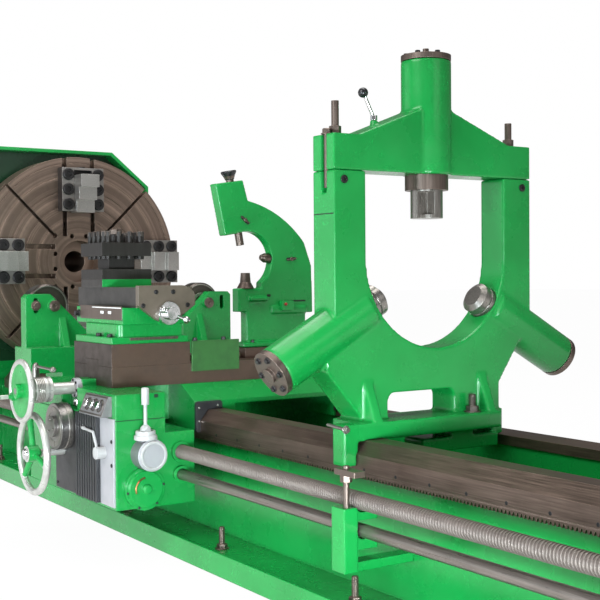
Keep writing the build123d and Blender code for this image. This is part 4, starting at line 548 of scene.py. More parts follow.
def stud_nut(bm, place, axis, radius, length):
    """Threaded stud that stands out of a nut and washer."""
    hex_bolt(bm, place, axis, 1.75 * radius, 1.7 * radius)
    at = aim(place, axis)
    rings = 9
    profile = []
    for ring in range(rings):
        start = 1.5 * radius + (length - 1.8 * radius) * ring / rings
        profile += [(radius, start), (0.88 * radius, start + 0.5 * (length - 1.8 * radius) / rings)]
    lathe(bm, at, [*profile, (radius, length - 0.3 * radius), (0.7 * radius, length), (0, length)], 18)


def drum_marks(bm, centre, radius, start, count, lengths, width):
    """Graduations round a drum along Y, with every tenth line longer."""
    side = Y_AXIS.orthogonal().normalized()
    other = Y_AXIS.cross(side)
    for mark in range(count):
        angle = TURN * mark / count
        outwards = side * math.cos(angle) + other * math.sin(angle)
        length = lengths[0 if mark % 10 else 1]
        place = centre + Y_AXIS * (start + length / 2) + outwards * radius
        slab(bm, seat(place, Y_AXIS, outwards), rounded(length, width, 0.2 * width, 2), 0.0004)


def across_bed(angle):
    """Direction across the bed, turned from +Y towards +Z."""
    return Vector((0, math.cos(angle), math.sin(angle)))


def around(centre, axis, radius, count, first=0.0):
    """Points evenly spaced on a circle about an axis."""
    at = aim(centre, axis)
    angles = [first + TURN * i / count for i in range(count)]
    return [at @ Vector((radius * math.cos(a), radius * math.sin(a), 0)) for a in angles]


def piece(name, body, material, draw, *details, bevel=0.0):
    """Piece of one form, drawn by a mesh helper from its details."""
    with drawn(name, body, material, bevel) as bm:
        draw(bm, *details)


def heads(name, body, material, head, places, axis, *sizes):
    """Piece made of equal screws or bolts at places along an axis."""
    with drawn(name, body, material) as bm:
        for place in places:
            head(bm, place, axis, *sizes)


# Jaw boxes: clamp screws on both flanges and the square end of each jaw screw
BOX_INNER = (0.298, 0.363, 0.330, 0.363)
BOX_LENGTH = 0.258
BOX_FACE = 0.07
BOX_SCREW_ACROSS = 0.0935
BOX_SCREW_STEP = 0.088
BOX_SCREW_R = 0.035
SCREW_COLLAR = [(0, 0), (0.026, 0), (0.026, 0.006), (0.019, 0.006), (0.019, 0.002), (0, 0.002)]
SCREW_SQUARE = [(0.015, 0), (0.015, 0.005), (0.012, 0.007), (0, 0.007)]
with drawn("jaw_box_screws", "spindle", black_steel, 0.0012) as bm:
    for quarter, inner in enumerate(BOX_INNER):
        outwards = across_bed(TURN / 4 * (quarter + 1))
        across = X_AXIS.cross(outwards)
        middle = Vector((BOX_FACE, 0, SPINDLE_Z)) + outwards * (inner + BOX_LENGTH / 2)
        for step in (-1, 0, 1):
            for side in (-1, 1):
                place = middle + outwards * step * BOX_SCREW_STEP + across * side * BOX_SCREW_ACROSS
                cap_screw(bm, place, X_AXIS, BOX_SCREW_R, 0.016)
        screw_end = middle + outwards * BOX_LENGTH / 2 - X_AXIS * 0.032
        lathe(bm, aim(screw_end, outwards), SCREW_COLLAR)
        lathe(bm, aim(screw_end, outwards), SCREW_SQUARE, 4)

# Long lead screw with its thread, journals plain
THREAD_X = (-0.33, 5.845)
THREAD_PITCH = 0.012
THREAD_STEPS = 18
THREAD_SHAPE = ((0.0, 0.0242), (0.38, 0.0242), (0.5, 0.028), (0.88, 0.028))
SCREW_LINE = Vector((0, -0.572, 0.41))
JOURNALS = ((-0.44, -0.328), (5.843, 5.935))
JOURNAL_R = 0.018


def thread_ring(bm, step):
    """One step of the thread's outline, turned on by its angle."""
    outwards = across_bed(TURN * step / THREAD_STEPS)
    ring = []
    for share, radius in THREAD_SHAPE:
        x = THREAD_X[0] + THREAD_PITCH * (step / THREAD_STEPS + share)
        ring.append(bm.verts.new(SCREW_LINE + X_AXIS * x + outwards * radius))
    return ring


with drawn("lead_screw_thread", "lead_screw", thread_steel) as bm:
    turns = int((THREAD_X[1] - THREAD_X[0]) / THREAD_PITCH) - 1
    rings = [thread_ring(bm, step) for step in range(turns * THREAD_STEPS)]
    for step in range(len(rings) - 1):
        for k in range(3):
            bm.faces.new((rings[step][k], rings[step][k + 1], rings[step + 1][k + 1], rings[step + 1][k]))
        if step + THREAD_STEPS + 1 < len(rings):
            next_turn = step + THREAD_STEPS
            bm.faces.new((rings[step][3], rings[next_turn][0], rings[next_turn + 1][0], rings[step + 1][3]))
    for low, high in JOURNALS:
        length = high - low
        lathe(bm, aim(SCREW_LINE + X_AXIS * low, X_AXIS),
              [(0, 0), (JOURNAL_R, 0.002), (JOURNAL_R, length - 0.002), (0, length)])
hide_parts("lead_screw")

# Bed: screws of the front slideway, levelling screws in the tray and screws of the end bracket
WAY_FRONT = -0.41
WAY_SCREW_Z = 0.46
WAY_SCREW_FIRST, WAY_SCREW_LAST, WAY_SCREW_STEP = -0.088, 5.85, 0.1675
WAY_SCREW_SHAPE = [(0, 0.0001), (0.006, 0.0001), (0.007, -0.002)]
with drawn("slideway_screws", "bed", black_steel) as bm:
    place_x = WAY_SCREW_FIRST
    while place_x < WAY_SCREW_LAST:
        lathe(bm, aim((place_x, WAY_FRONT, WAY_SCREW_Z), TO_OPERATOR), WAY_SCREW_SHAPE, 20)
        place_x += WAY_SCREW_STEP
LEVEL_FIRST, LEVEL_STEP = -1.682, 0.867
TRAY_TOP = 0.06
level_x = [LEVEL_FIRST + LEVEL_STEP * column for column in range(8)]
heads("levelling_screws", "bed", brown_steel, stud_nut,
      product(level_x, (-0.515, 0.5), [TRAY_TOP]), Z_AXIS, 0.012, 0.085)
BRACKET_END = 5.93
heads("support_screws", "bed", black_steel, cap_screw,
      product([BRACKET_END], [-0.45], (0.3, 0.42)), X_AXIS, 0.012, 0.01)

# Headstock: gear levers, door, sight glasses, cover screws, lifting eyes and vents
HEAD_FRONT = -0.58
LEVERS = ((-1.35, -0.35), (-1.0, 0.2), (-0.65, 0.5))
LEVER_Z = 1.32
LEVER_HUB = [(0, 0), (0.075, 0), (0.075, 0.012), (0.045, 0.018), (0.04, 0.055), (0.03, 0.065), (0, 0.065)]


def lever_point(x, lean, reach, out):
    """Point on a gear lever, hanging at a lean from its hub."""
    return Vector((x + reach * math.sin(lean), HEAD_FRONT - out, LEVER_Z - reach * math.cos(lean)))


with drawn("gear_lever_hubs", "bed", bright_steel, 0.001) as bm:
    for x, _ in LEVERS:
        lathe(bm, on_front(x, HEAD_FRONT, LEVER_Z), LEVER_HUB)
        for spot in around((x, HEAD_FRONT - 0.012, LEVER_Z), TO_OPERATOR, 0.06, 6):
            cap_screw(bm, spot, TO_OPERATOR, 0.006, 0.005)
with drawn("gear_levers", "bed", chrome) as bm:
    for x, lean in LEVERS:
        tube(bm, [(x, HEAD_FRONT - 0.045, LEVER_Z), lever_point(x, lean, 0.19, 0.085)], 0.009)
with drawn("gear_lever_balls", "bed", black_ball) as bm:
    for x, lean in LEVERS:
        globe(bm, lever_point(x, lean, 0.2, 0.087), 0.024)
DOOR_THICK = 0.012
piece("headstock_door", "bed", green, slab,
      on_front(-1.0, HEAD_FRONT, 1.0), rounded(0.9, 0.3, 0.02), DOOR_THICK, bevel=0.004)
SIGHT_X = (-0.5, -1.5)
SIGHT_Z = 1.55
SIGHT_RIM = [(0.045, 0), (0.045, 0.01), (0.036, 0.014), (0.031, 0.008), (0.031, 0)]
SIGHT_GLASS = [(0.032, 0), (0.032, 0.006), (0.02, 0.009), (0, 0.01)]
with drawn("headstock_door_screws", "bed", chrome) as bm:
    for place in product((-1.42, -1.0, -0.58), [HEAD_FRONT - DOOR_THICK], (0.875, 1.125)):
        cap_screw(bm, place, TO_OPERATOR, 0.01, 0.008)
    for x in SIGHT_X:
        lathe(bm, on_front(x, HEAD_FRONT, SIGHT_Z), SIGHT_RIM, 32)
with drawn("sight_glasses", "bed", glass_oil) as bm:
    for x in SIGHT_X:
        lathe(bm, on_front(x, HEAD_FRONT, SIGHT_Z), SIGHT_GLASS, 32)
COVER_TOP = 1.89
heads("cover_screws", "bed", chrome, cap_screw,
      product((-1.6, -1.28, -0.96, -0.64, -0.32), (-0.4, 0.2), [COVER_TOP]), Z_AXIS, 0.012, 0.009)
EYE_Y = -0.1
EYE_Z = COVER_TOP + 0.048
EYE_R = 0.027
EYE_FOOT = [(0, 0), (0.045, 0), (0.045, 0.01), (0.022, 0.016), (0.018, 0.03), (0, 0.03)]
with drawn("lifting_eyes", "bed", brown_steel) as bm:
    for x in (-1.45, -1.05):
        lathe(bm, on_top(x, EYE_Y, COVER_TOP), EYE_FOOT)
        angles = [TURN * k / 24 for k in range(24)]
        ring = [(x + EYE_R * math.cos(a), EYE_Y, EYE_Z + EYE_R * math.sin(a)) for a in angles]
        tube(bm, ring, 0.009, 12, True)
HEAD_REAR = 0.538
# The vents are dark sheets: painted shade inside the slots
with drawn("headstock_vents", "bed", joints_and_opening_shade) as bm:
    for row in range(9):
        at = seat((-1.0, HEAD_REAR, 0.8 + 0.03 * row), -X_AXIS, Y_AXIS)
        slab(bm, at, rounded(0.36, 0.011, 0.005), 0.001)

# Feed gearbox: cover plate, screws and selector levers
FEED_FRONT = -0.715
FEED_COVER = FEED_FRONT - 0.01
SELECTORS = ((-0.86, 0.5), (-0.7, 0.5), (-0.54, 0.5), (-0.78, 0.36), (-0.62, 0.36))
SELECTOR_HUB = [(0, 0), (0.042, 0), (0.042, 0.008), (0.026, 0.012), (0.022, 0.035), (0, 0.038)]
piece("feed_cover", "bed", green, slab,
      on_front(-0.7, FEED_FRONT, 0.435), rounded(0.62, 0.34, 0.02), 0.01, bevel=0.003)
heads("feed_screws", "bed", black_steel, cap_screw,
      product((-0.98, -0.79, -0.61, -0.42), [FEED_COVER], (0.285, 0.585)), TO_OPERATOR, 0.008, 0.007)
with drawn("feed_selectors", "bed", bright_steel, 0.001) as bm:
    for x, z in SELECTORS:
        lathe(bm, on_front(x, FEED_COVER, z), SELECTOR_HUB)
        tube(bm, [(x, FEED_FRONT - 0.034, z), (x + 0.03, FEED_FRONT - 0.06, z - 0.06)], 0.006)
with drawn("feed_selector_balls", "bed", black_ball) as bm:
    for x, z in SELECTORS:
        globe(bm, (x + 0.032, FEED_FRONT - 0.062, z - 0.064), 0.014)

# Motor: end bells, terminal box, fan rings and bolts; belt guard: louvres, screws and a handle
MOTOR_Y, MOTOR_Z = 0.74, 0.61
FAN_BELL = [(0, 0), (0.186, 0), (0.19, 0.02), (0.18, 0.07), (0.13, 0.09), (0, 0.09)]
SHAFT_BELL = [(0, 0), (0.182, 0), (0.17, 0.03), (0.07, 0.05), (0.06, 0.07), (0, 0.07)]
with drawn("motor_bells", "bed", green, 0.002) as bm:
    lathe(bm, aim((-1.02, MOTOR_Y, MOTOR_Z), X_AXIS), FAN_BELL, 40)
    lathe(bm, aim((-1.56, MOTOR_Y, MOTOR_Z), -X_AXIS), SHAFT_BELL, 40)
    slab(bm, on_top(-1.3, MOTOR_Y, MOTOR_Z + 0.17), rounded(0.16, 0.13, 0.012), 0.09)
with drawn("motor_details", "bed", black_steel) as bm:
    for ring in range(4):
        inner, outer = 0.03 + 0.026 * ring, 0.042 + 0.026 * ring
        lathe(bm, aim((-0.9302, MOTOR_Y, MOTOR_Z), X_AXIS),
              [(inner, 0), (inner, 0.001), (outer, 0.001), (outer, 0)], 32)
    for x in (-1.45, -1.13):
        hex_bolt(bm, (x, 0.845, 0.445), Z_AXIS, 0.014, 0.014)
    for place in product((-1.36, -1.24), (MOTOR_Y - 0.05, MOTOR_Y + 0.05), [MOTOR_Z + 0.26]):
        cap_screw(bm, place, Z_AXIS, 0.006, 0.005)
GUARD_END = -1.84
GUARD_SCREWS = ((-0.23, 0.53), (-0.23, 1.0), (-0.23, 1.45), (0.17, 1.45),
                (0.55, 1.12), (0.91, 0.79), (0.91, 0.43), (0.3, 0.53))
GUARD_HANDLE = ((0, 0.85), (0.04, 0.86), (0.045, 0.93), (0.04, 1.0), (0, 1.01))
# The louvres are dark sheets: painted shade inside the openings
with drawn("guard_louvres", "bed", joints_and_opening_shade) as bm:
    for row in range(10):
        at = seat((GUARD_END, 0.62, 0.48 + 0.032 * row), -Y_AXIS, -X_AXIS)
        slab(bm, at, rounded(0.4, 0.012, 0.005), 0.001)
with drawn("guard_screws", "bed", chrome) as bm:
    for y, z in GUARD_SCREWS:
        cap_screw(bm, (GUARD_END, y, z), -X_AXIS, 0.01, 0.008)
    tube(bm, [(GUARD_END - out, 0.1, z) for out, z in GUARD_HANDLE], 0.008)

# Roller rest: bright roller rims, pin washers and a bolt
ROLLER_FACE = 0.684
ROLLER_RIM = [(0.1, -0.001), (0.1, 0.0012), (0.106, 0.0018), (0.107, -0.001)]
ROLLER_HUB = [(0.04, -0.001), (0.04, 0.002), (0.056, 0.0024), (0.057, -0.001)]
PIN_FACE = 0.78
PIN_WASHER = [(0, 0), (0.03, 0), (0.03, 0.004), (0.022, 0.008), (0.01, 0.008), (0.008, 0.002), (0, 0.002)]
for side, body in ((-1, "rest_roller_front"), (1, "rest_roller_rear")):
    with drawn(body + "_rim", body, bright_steel) as bm:
        at = aim((ROLLER_FACE, side * ROLLER_Y, ROLLER_Z), X_AXIS)
        lathe(bm, at, ROLLER_RIM, 56)
        lathe(bm, at, ROLLER_HUB, 40)
with drawn("roller_rest_pins", "roller_rest", brown_steel, 0.001) as bm:
    for side in (-1, 1):
        lathe(bm, aim((PIN_FACE, side * ROLLER_Y, ROLLER_Z), X_AXIS), PIN_WASHER)
    hex_bolt(bm, (0.76, -0.552, 0.958), X_AXIS, 0.02, 0.02)

# Saddle and apron: joint line, oil hole, wiper plates and lock lever
JOINT_Z = 0.5485
with drawn("apron_joint", "carriage", joints_and_opening_shade) as bm:
    slab(bm, on_end(SADDLE_END, -0.741, JOINT_Z), rounded(0.208, 0.003, 0.001, 1), 0.0006)
    slab(bm, on_front(CROSS_FEED_X, SADDLE_FRONT, JOINT_Z), rounded(0.938, 0.003, 0.001, 1), 0.0006)
    # The oil hole is a dark sheet: painted shade inside the hole
    slab(bm, on_end(SADDLE_END, -0.674, 0.637), rounded(0.017, 0.014, 0.003), 0.0008)
WIPER_FACE = 2.29
WIPER_THICK = 0.003
WIPER_OUTLINE = [(-0.061, -0.062), (-0.061, 0.046), (-0.049, 0.057), (0.046, 0.057), (0.058, 0.046),
                 (0.058, 0.032), (-0.004, 0.032), (-0.038, -0.012), (-0.038, -0.062)]
WIPER_SCREWS = ((-0.417, 0.503), (-0.417, 0.559), (-0.33, 0.565), (0.3, 0.54), (0.44, 0.54))
with drawn("wiper_plates", "carriage", black_panel, 0.001) as bm:
    slab(bm, on_end(WIPER_FACE, -0.367, 0.524), WIPER_OUTLINE, WIPER_THICK)
    slab(bm, on_end(WIPER_FACE, 0.37, 0.54), rounded(0.19, 0.03, 0.006), WIPER_THICK)
heads("wiper_screws", "carriage", chrome, cap_screw,
      [(WIPER_FACE + WIPER_THICK, y, z) for y, z in WIPER_SCREWS], X_AXIS, 0.0055, 0.003)
LOCK_STEM = [(0, 0), (0.016, 0), (0.016, 0.044), (0.013, 0.062), (0.006, 0.07), (0, 0.07)]
LOCK_ROD = [(1.505, -0.828, 0.704), (1.58, -0.84, 0.706), (1.768, -0.851, 0.706)]
LOCK_END = [(0, 0), (0.009, 0), (0.0125, 0.004), (0.0125, 0.02), (0.008, 0.026), (0, 0.026)]
with drawn("saddle_lock", "carriage", bright_steel) as bm:
    lathe(bm, on_top(1.505, -0.828, 0.649), LOCK_STEM)
    tube(bm, LOCK_ROD, 0.006)
    lathe(bm, aim((1.765, -0.851, 0.706), X_AXIS), LOCK_END, 24)

# Apron end: cover screws, centre cap, copper gauge arc, rim of the housing and joystick collars
COVER_MIDDLE = Vector((SADDLE_END, -0.732, 0.281))
COVER_CAP = [(0.019, -0.01), (0.019, 0.002), (0.015, 0.006), (0, 0.007)]
cover_spots = around(COVER_MIDDLE + X_AXIS * 0.02, X_AXIS, 0.077, 6, 0.4)
low_spots = [spot for spot in cover_spots if spot.z < 0.33]
heads("apron_cover_screws", "carriage", black_steel, cap_screw, low_spots, X_AXIS, 0.005, 0.004)
piece("apron_cover_cap", "carriage", green, lathe, aim(COVER_MIDDLE + X_AXIS * 0.038, X_AXIS), COVER_CAP)
with drawn("apron_gauge_arc", "carriage", copper) as bm:
    spots = around(COVER_MIDDLE + X_AXIS * 0.029, X_AXIS, 0.045, 40)
    tube(bm, sorted((p for p in spots if p.y < -0.735 and p.z > 0.265), key=lambda p: p.z), 0.0035, 10)
HOUSING_LID = Vector((2.5, -0.724, 0.416))
LID_RIM = [(0.0562, -0.009), (0.0565, 0.001), (0.0545, 0.0035),
           (0.048, 0.004), (0.045, 0.0015), (0.045, -0.001)]
piece("housing_lid_rim", "carriage", white_grip, lathe, aim(HOUSING_LID, X_AXIS), LID_RIM, 56)
COLLARS = [(0.0275, 0), (0.043, 0), (0.045, 0.003), (0.045, 0.015), (0.043, 0.018), (0.039, 0.019),
           (0.039, 0.033), (0.037, 0.036), (0.031, 0.036), (0.0295, 0.033), (0.0295, 0.01)]
piece("joystick_collars", "carriage", white_grip, lathe, on_top(2.456, -0.738, 0.474), COLLARS, 40)

# Apron front: strip and plate screws, flange screws, lock knob and rims of the buttons
STRIP_FACE = -0.854
with drawn("strip_screws", "carriage", black_steel) as bm:
    for z in (0.376, 0.468):
        cap_screw(bm, (2.397, STRIP_FACE, z), TO_OPERATOR, 0.0075, 0.003)
    for x in (1.828, 2.038):
        cap_screw(bm, (x, STRIP_FACE, 0.23), TO_OPERATOR, 0.006, 0.004)
heads("flange_screws", "carriage", black_steel, cap_screw,
      around((CROSS_FEED_X, -0.825, CROSS_FEED_Z), TO_OPERATOR, 0.033, 6), TO_OPERATOR, 0.0055, 0.004)
LOCK_KNOB = [(0, 0), (0.0135, 0), (0.0135, 0.0048), (0.0081, 0.008), (0.0081, 0.018),
             (0.0153, 0.022), (0.018, 0.0272), (0.018, 0.0344), (0.0144, 0.0388), (0, 0.04)]
piece("cross_lock_knob", "carriage", chrome, lathe, aim((2.0, -0.803, 0.583), TO_OPERATOR), LOCK_KNOB)
SLOPE_TOP = Vector((0, -0.860, 0.640))
SLOPE_FOOT = Vector((0, -0.890, 0.566))
slope = (SLOPE_TOP - SLOPE_FOOT).normalized()
slope_out = X_AXIS.cross(slope)
PANEL_X = (2.165, 2.385)
BUTTON_X = (2.225, 2.283, 2.341)
RIM_INSET = 0.004
BUTTON_RIM = [(0.0215, -0.001), (0.0215, 0.003), (0.025, 0.003), (0.0265, -0.001)]
with drawn("button_panel_rim", "carriage", dark_steel) as bm:
    rim_low = SLOPE_FOOT + slope * RIM_INSET
    rim_high = SLOPE_TOP - slope * RIM_INSET
    rim_left = X_AXIS * (PANEL_X[0] + RIM_INSET)
    rim_right = X_AXIS * (PANEL_X[1] - RIM_INSET)
    corners = [rim_low + rim_left, rim_low + rim_right, rim_high + rim_right, rim_high + rim_left]
    tube(bm, corners, 0.0032, 10, True)
    for x in BUTTON_X:
        lathe(bm, aim(X_AXIS * x + (SLOPE_TOP + SLOPE_FOOT) / 2, slope_out), BUTTON_RIM, 28)

# Dials: graduations, knurled rims and bright bands; nuts of the handwheels
DIAL_BAND = [(0.095, 0.03), (0.098, 0.032), (0.098, 0.048), (0.095, 0.05)]
DIAL_RING = [(0.06, -0.001), (0.062, 0.002), (0.082, 0.002), (0.084, -0.001)]
piece("dial_marks", "traverse_dial", line_ink, drum_marks,
      DIAL_FOOT, 0.096, 0.002, 100, (0.012, 0.02), 0.0014)
with drawn("dial_band", "traverse_dial", bright_steel) as bm:
    lathe(bm, aim(DIAL_FOOT, Y_AXIS), DIAL_BAND, 64)
    lathe(bm, aim(DIAL_FOOT, TO_OPERATOR), DIAL_RING, 56)
    for spot in around(DIAL_FOOT - Y_AXIS * 0.014, TO_OPERATOR, 0.028, 3):
        cap_screw(bm, spot, TO_OPERATOR, 0.005, 0.004)
CROSS_COLLAR = Vector((CROSS_FEED_X, -1.004, CROSS_FEED_Z))
KNURL = [(0.0515, 0), (0.0535, 0.0015), (0.0535, 0.0035), (0.0515, 0.005)]
CROSS_NUT = [(0, 0), (0.02, 0), (0.02, 0.008), (0.014, 0.013), (0, 0.013)]
TRAVERSE_NUT = [(0, 0), (0.024, 0), (0.024, 0.006), (0.018, 0.012), (0, 0.014)]
piece("collar_marks", "cross_handwheel", line_ink, drum_marks,
      CROSS_COLLAR, 0.052, 0.05, 80, (0.01, 0.018), 0.0012)
with drawn("collar_knurl", "cross_handwheel", bright_steel) as bm:
    for ring in range(5):
        lathe(bm, aim(CROSS_COLLAR + Y_AXIS * (0.006 + 0.007 * ring), Y_AXIS), KNURL, 48)
    lathe(bm, aim((CROSS_FEED_X, -1.066, CROSS_FEED_Z), TO_OPERATOR), CROSS_NUT, 6)
piece("traverse_hub_nut", "traverse_handwheel", chrome, lathe,
      aim((TRAVERSE_X, -1.0166, TRAVERSE_Z), TO_OPERATOR), TRAVERSE_NUT)

# Cross slide, compound base and swivel: bolts, joint slit, side cover bolts and the angle scale
heads("compound_bolts", "cross_slide", black_steel, hex_bolt,
      product((1.966, 2.08), [-0.718], [0.854]), Z_AXIS, 0.0115, 0.014)
heads("side_cover_bolts", "carriage", black_steel, hex_bolt,
      product([2.157], (-0.362, -0.223), [0.83]), Z_AXIS, 0.0095, 0.013)
piece("compound_slit", "cross_slide", brown_steel, slab,
      on_end(2.142, -0.545, 0.846), rounded(0.222, 0.012, 0.003), 0.0012)
SCALE_FACE = -0.69
SCALE_THICK = 0.004
piece("angle_scale", "swivel", brown_steel, slab,
      on_front(1.925, SCALE_FACE, 0.953), rounded(0.44, 0.058, 0.004), SCALE_THICK, bevel=0.001)
with drawn("angle_scale_marks", "swivel", white_ink) as bm:
    slab(bm, on_front(1.991, SCALE_FACE - SCALE_THICK, 0.9745), rounded(0.302, 0.0045, 0.001, 1), 0.0005)
    for x in (1.947, 2.025):
        slab(bm, on_front(x, SCALE_FACE - SCALE_THICK, 0.954), rounded(0.034, 0.012, 0.002, 2), 0.0005)
piece("swivel_bolt", "swivel", black_steel, hex_bolt, (1.682, SCALE_FACE, 0.945), TO_OPERATOR, 0.013, 0.02)

# Top slide: end plate screws
END_FACE = 2.216
END_SCREWS = ((-0.571, 1.04), (-0.493, 1.04), (-0.63, 0.985), (-0.426, 0.985))
heads("end_plate_screws", "top_slide", black_steel, cap_screw,
      [(END_FACE, y, z) for y, z in END_SCREWS], X_AXIS, 0.0095, 0.004)

# Tool post: square clamp bolts and centre nut
POST_MIDDLE = Vector((1.783, -0.555, 0))
BOLT_LINE = 0.089
BOLT_FOOT = 1.283
BOLT_HEAD = [(0.0135, 0), (0.0135, 0.018), (0.0115, 0.0205), (0, 0.0205)]
NUT_FOOT = 1.292
POST_NUT = [(0.03, 0), (0.03, 0.02), (0.025, 0.025), (0, 0.025)]
with drawn("post_bolt_heads", "tool_post", dark_steel, 0.0008) as bm:
    for shift in (-0.075, -0.025, 0.025, 0.075):
        for x, y in ((shift, -BOLT_LINE), (shift, BOLT_LINE), (-BOLT_LINE, shift), (BOLT_LINE, shift)):
            lathe(bm, aim(POST_MIDDLE + Vector((x, y, BOLT_FOOT)), Z_AXIS, 0.2 + 9 * x), BOLT_HEAD, 4)
piece("post_nut", "tool_post", brown_steel, lathe,
      aim(POST_MIDDLE + Z_AXIS * NUT_FOOT, Z_AXIS), POST_NUT, 6, bevel=0.001)

# Follow rest: clamp screws in their slots, clamp block with a stud, grooves, black knob and foot bolts
FOLLOW_FACE = 1.966
FOLLOW_SLOTS = ((0.002, 1.359, -40), (0.251, 1.182, 4))
SLOT_SCREW = [(0.009, 0), (0.009, 0.008), (0.006, 0.01), (0, 0.01)]
CLAMP_STUD = [(0.007, 0), (0.007, 0.005), (0.004, 0.007), (0, 0.007)]
KNOB_HEAD = [(0.0215, 0), (0.0225, 0.008), (0.0355, 0.03), (0.036, 0.036), (0.03, 0.0395), (0, 0.04)]
KNOB_AXIS = across_bed(math.radians(100))
slot_seats = [on_end(FOLLOW_FACE, y, z) @ Matrix.Rotation(math.radians(lean), 4, "Z")
              for y, z, lean in FOLLOW_SLOTS]
# The slots are dark sheets: painted shade inside them
with drawn("follow_slots", "carriage", joints_and_opening_shade) as bm:
    for at in slot_seats:
        slab(bm, at, rounded(0.054, 0.015, 0.007), 0.0009)
with drawn("follow_screws", "carriage", brown_steel, 0.0008) as bm:
    for at in slot_seats:
        lathe(bm, at, SLOT_SCREW, 18)
        tube(bm, [at @ Vector((-0.027, -0.002, 0.006)), at @ Vector((0.025, 0.002, 0.006))], 0.0035, 10)
piece("follow_clamp_block", "carriage", green, slab,
      on_end(FOLLOW_FACE, 0.215, 0.965), rounded(0.062, 0.046, 0.004), 0.03, bevel=0.002)
piece("follow_clamp_stud", "carriage", red_cap, lathe, on_end(FOLLOW_FACE + 0.03, 0.2, 0.972), CLAMP_STUD, 16)
# The grooves are dark sheets: painted shade inside them
with drawn("follow_grooves", "carriage", joints_and_opening_shade) as bm:
    slab(bm, on_end(FOLLOW_FACE, 0.27, 0.986), rounded(0.12, 0.007, 0.003), 0.0008)
    slab(bm, on_end(FOLLOW_FACE, 0.126, 1.013), rounded(0.02, 0.012, 0.003), 0.0008)
piece("follow_knob", "follow_plunger_top", black_ball, lathe,
      aim(Vector((1.938, 0, SPINDLE_Z)) + KNOB_AXIS * 0.349, KNOB_AXIS), KNOB_HEAD, 32)
heads("follow_foot_bolts", "carriage", black_steel, hex_bolt,
      product([1.979], (0.03, 0.2, 0.345), [0.8]), Z_AXIS, 0.0085, 0.011)

# Steady rest: cap bolts, plugs, base stud and bolt, side seam, lever ball and swing bolt
STEADY_MID = 3.262
STEADY_FACE = 3.325
ARM_CENTRE = Vector((STEADY_MID, 0, 1.145))
ARM_DEGREES = (209, -29)
CAP_REACH = 0.76
TOP_CAP = 1.888
with drawn("steady_cap_bolts", "steady", black_steel) as bm:
    for degrees in ARM_DEGREES:
        axis = across_bed(math.radians(degrees))
        for spot in around(ARM_CENTRE + axis * CAP_REACH, axis, 0.062, 6, 0.3):
            hex_bolt(bm, spot, axis, 0.0095, 0.01)
    for spot in around((STEADY_MID, 0, TOP_CAP), Z_AXIS, 0.07, 6, 0.2):
        hex_bolt(bm, spot, Z_AXIS, 0.0095, 0.01)
heads("steady_plug", "steady", black_steel, cap_screw,
      product([STEADY_FACE], (-0.409, 0.409), [1.426]), X_AXIS, 0.014, 0.005)
piece("steady_base_stud", "steady", dark_steel, stud_nut, (3.352, 0.135, 0.606), Z_AXIS, 0.0135, 0.064)
CLAMP_Y = -0.4645
with drawn("steady_base_bolts", "steady", bright_steel) as bm:
    tube(bm, [(3.3, CLAMP_Y, 0.6), (3.41, CLAMP_Y, 0.594)], 0.006)
    hex_bolt(bm, (3.404, CLAMP_Y, 0.594), X_AXIS, 0.0105, 0.012)
piece("steady_side_seam", "steady", joints_and_opening_shade, slab,
      on_front(STEADY_MID, -0.4498, 1.311), rounded(0.118, 0.0035, 0.001, 1), 0.0006)
piece("steady_lever_ball", "steady_lever", black_ball, globe, (STEADY_MID, -0.281, 1.7344), 0.0178, 16)
SWING_Y = -0.434
with drawn("steady_swing_bolt", "steady", brown_steel) as bm:
    tube(bm, [(STEADY_MID, SWING_Y, 1.4), (STEADY_MID, SWING_Y, 1.6)], 0.011)
    hex_bolt(bm, (STEADY_MID, SWING_Y, 1.581), Z_AXIS, 0.016, 0.02)

# Tailstock: clamp bolts, barrel ring, quill lock and wheel handle
BARREL_RING = [(0.112, 0), (0.112, 0.006), (0.132, 0.006), (0.135, 0)]
LOCK_X = 4.95
LOCK_HUB = [(0, 0), (0.035, 0), (0.035, 0.035), (0.026, 0.045), (0, 0.045)]
WHEEL_HANDLE = [(0, 0), (0.014, 0), (0.014, 0.008), (0.01, 0.012),
                (0.016, 0.05), (0.018, 0.08), (0.012, 0.104), (0, 0.108)]
with drawn("tailstock_bolts", "tailstock", brown_steel) as bm:
    for place in product((4.9, 5.24, 5.58), (-0.4, 0.4), [0.7]):
        stud_nut(bm, place, Z_AXIS, 0.018, 0.1)
    for spot in around((BARREL_FACE, 0, SPINDLE_Z), -X_AXIS, 0.15, 8, 0.2):
        cap_screw(bm, spot, -X_AXIS, 0.011, 0.009)
piece("barrel_ring", "tailstock", bright_steel, lathe,
      aim((BARREL_FACE, 0, SPINDLE_Z), -X_AXIS), BARREL_RING, 56, bevel=0.001)
with drawn("quill_lock", "tailstock", chrome) as bm:
    lathe(bm, on_top(LOCK_X, 0, 1.38), LOCK_HUB)
    tube(bm, [(LOCK_X, 0, 1.415), (LOCK_X, -0.06, 1.44), (LOCK_X, -0.15, 1.5)], 0.01)
piece("quill_lock_ball", "tailstock", black_ball, globe, (LOCK_X, -0.157, 1.505), 0.023)
piece("tail_wheel_handle", "tail_handwheel", chrome, lathe, aim((5.756, 0.13, 1.33), X_AXIS), WHEEL_HANDLE)

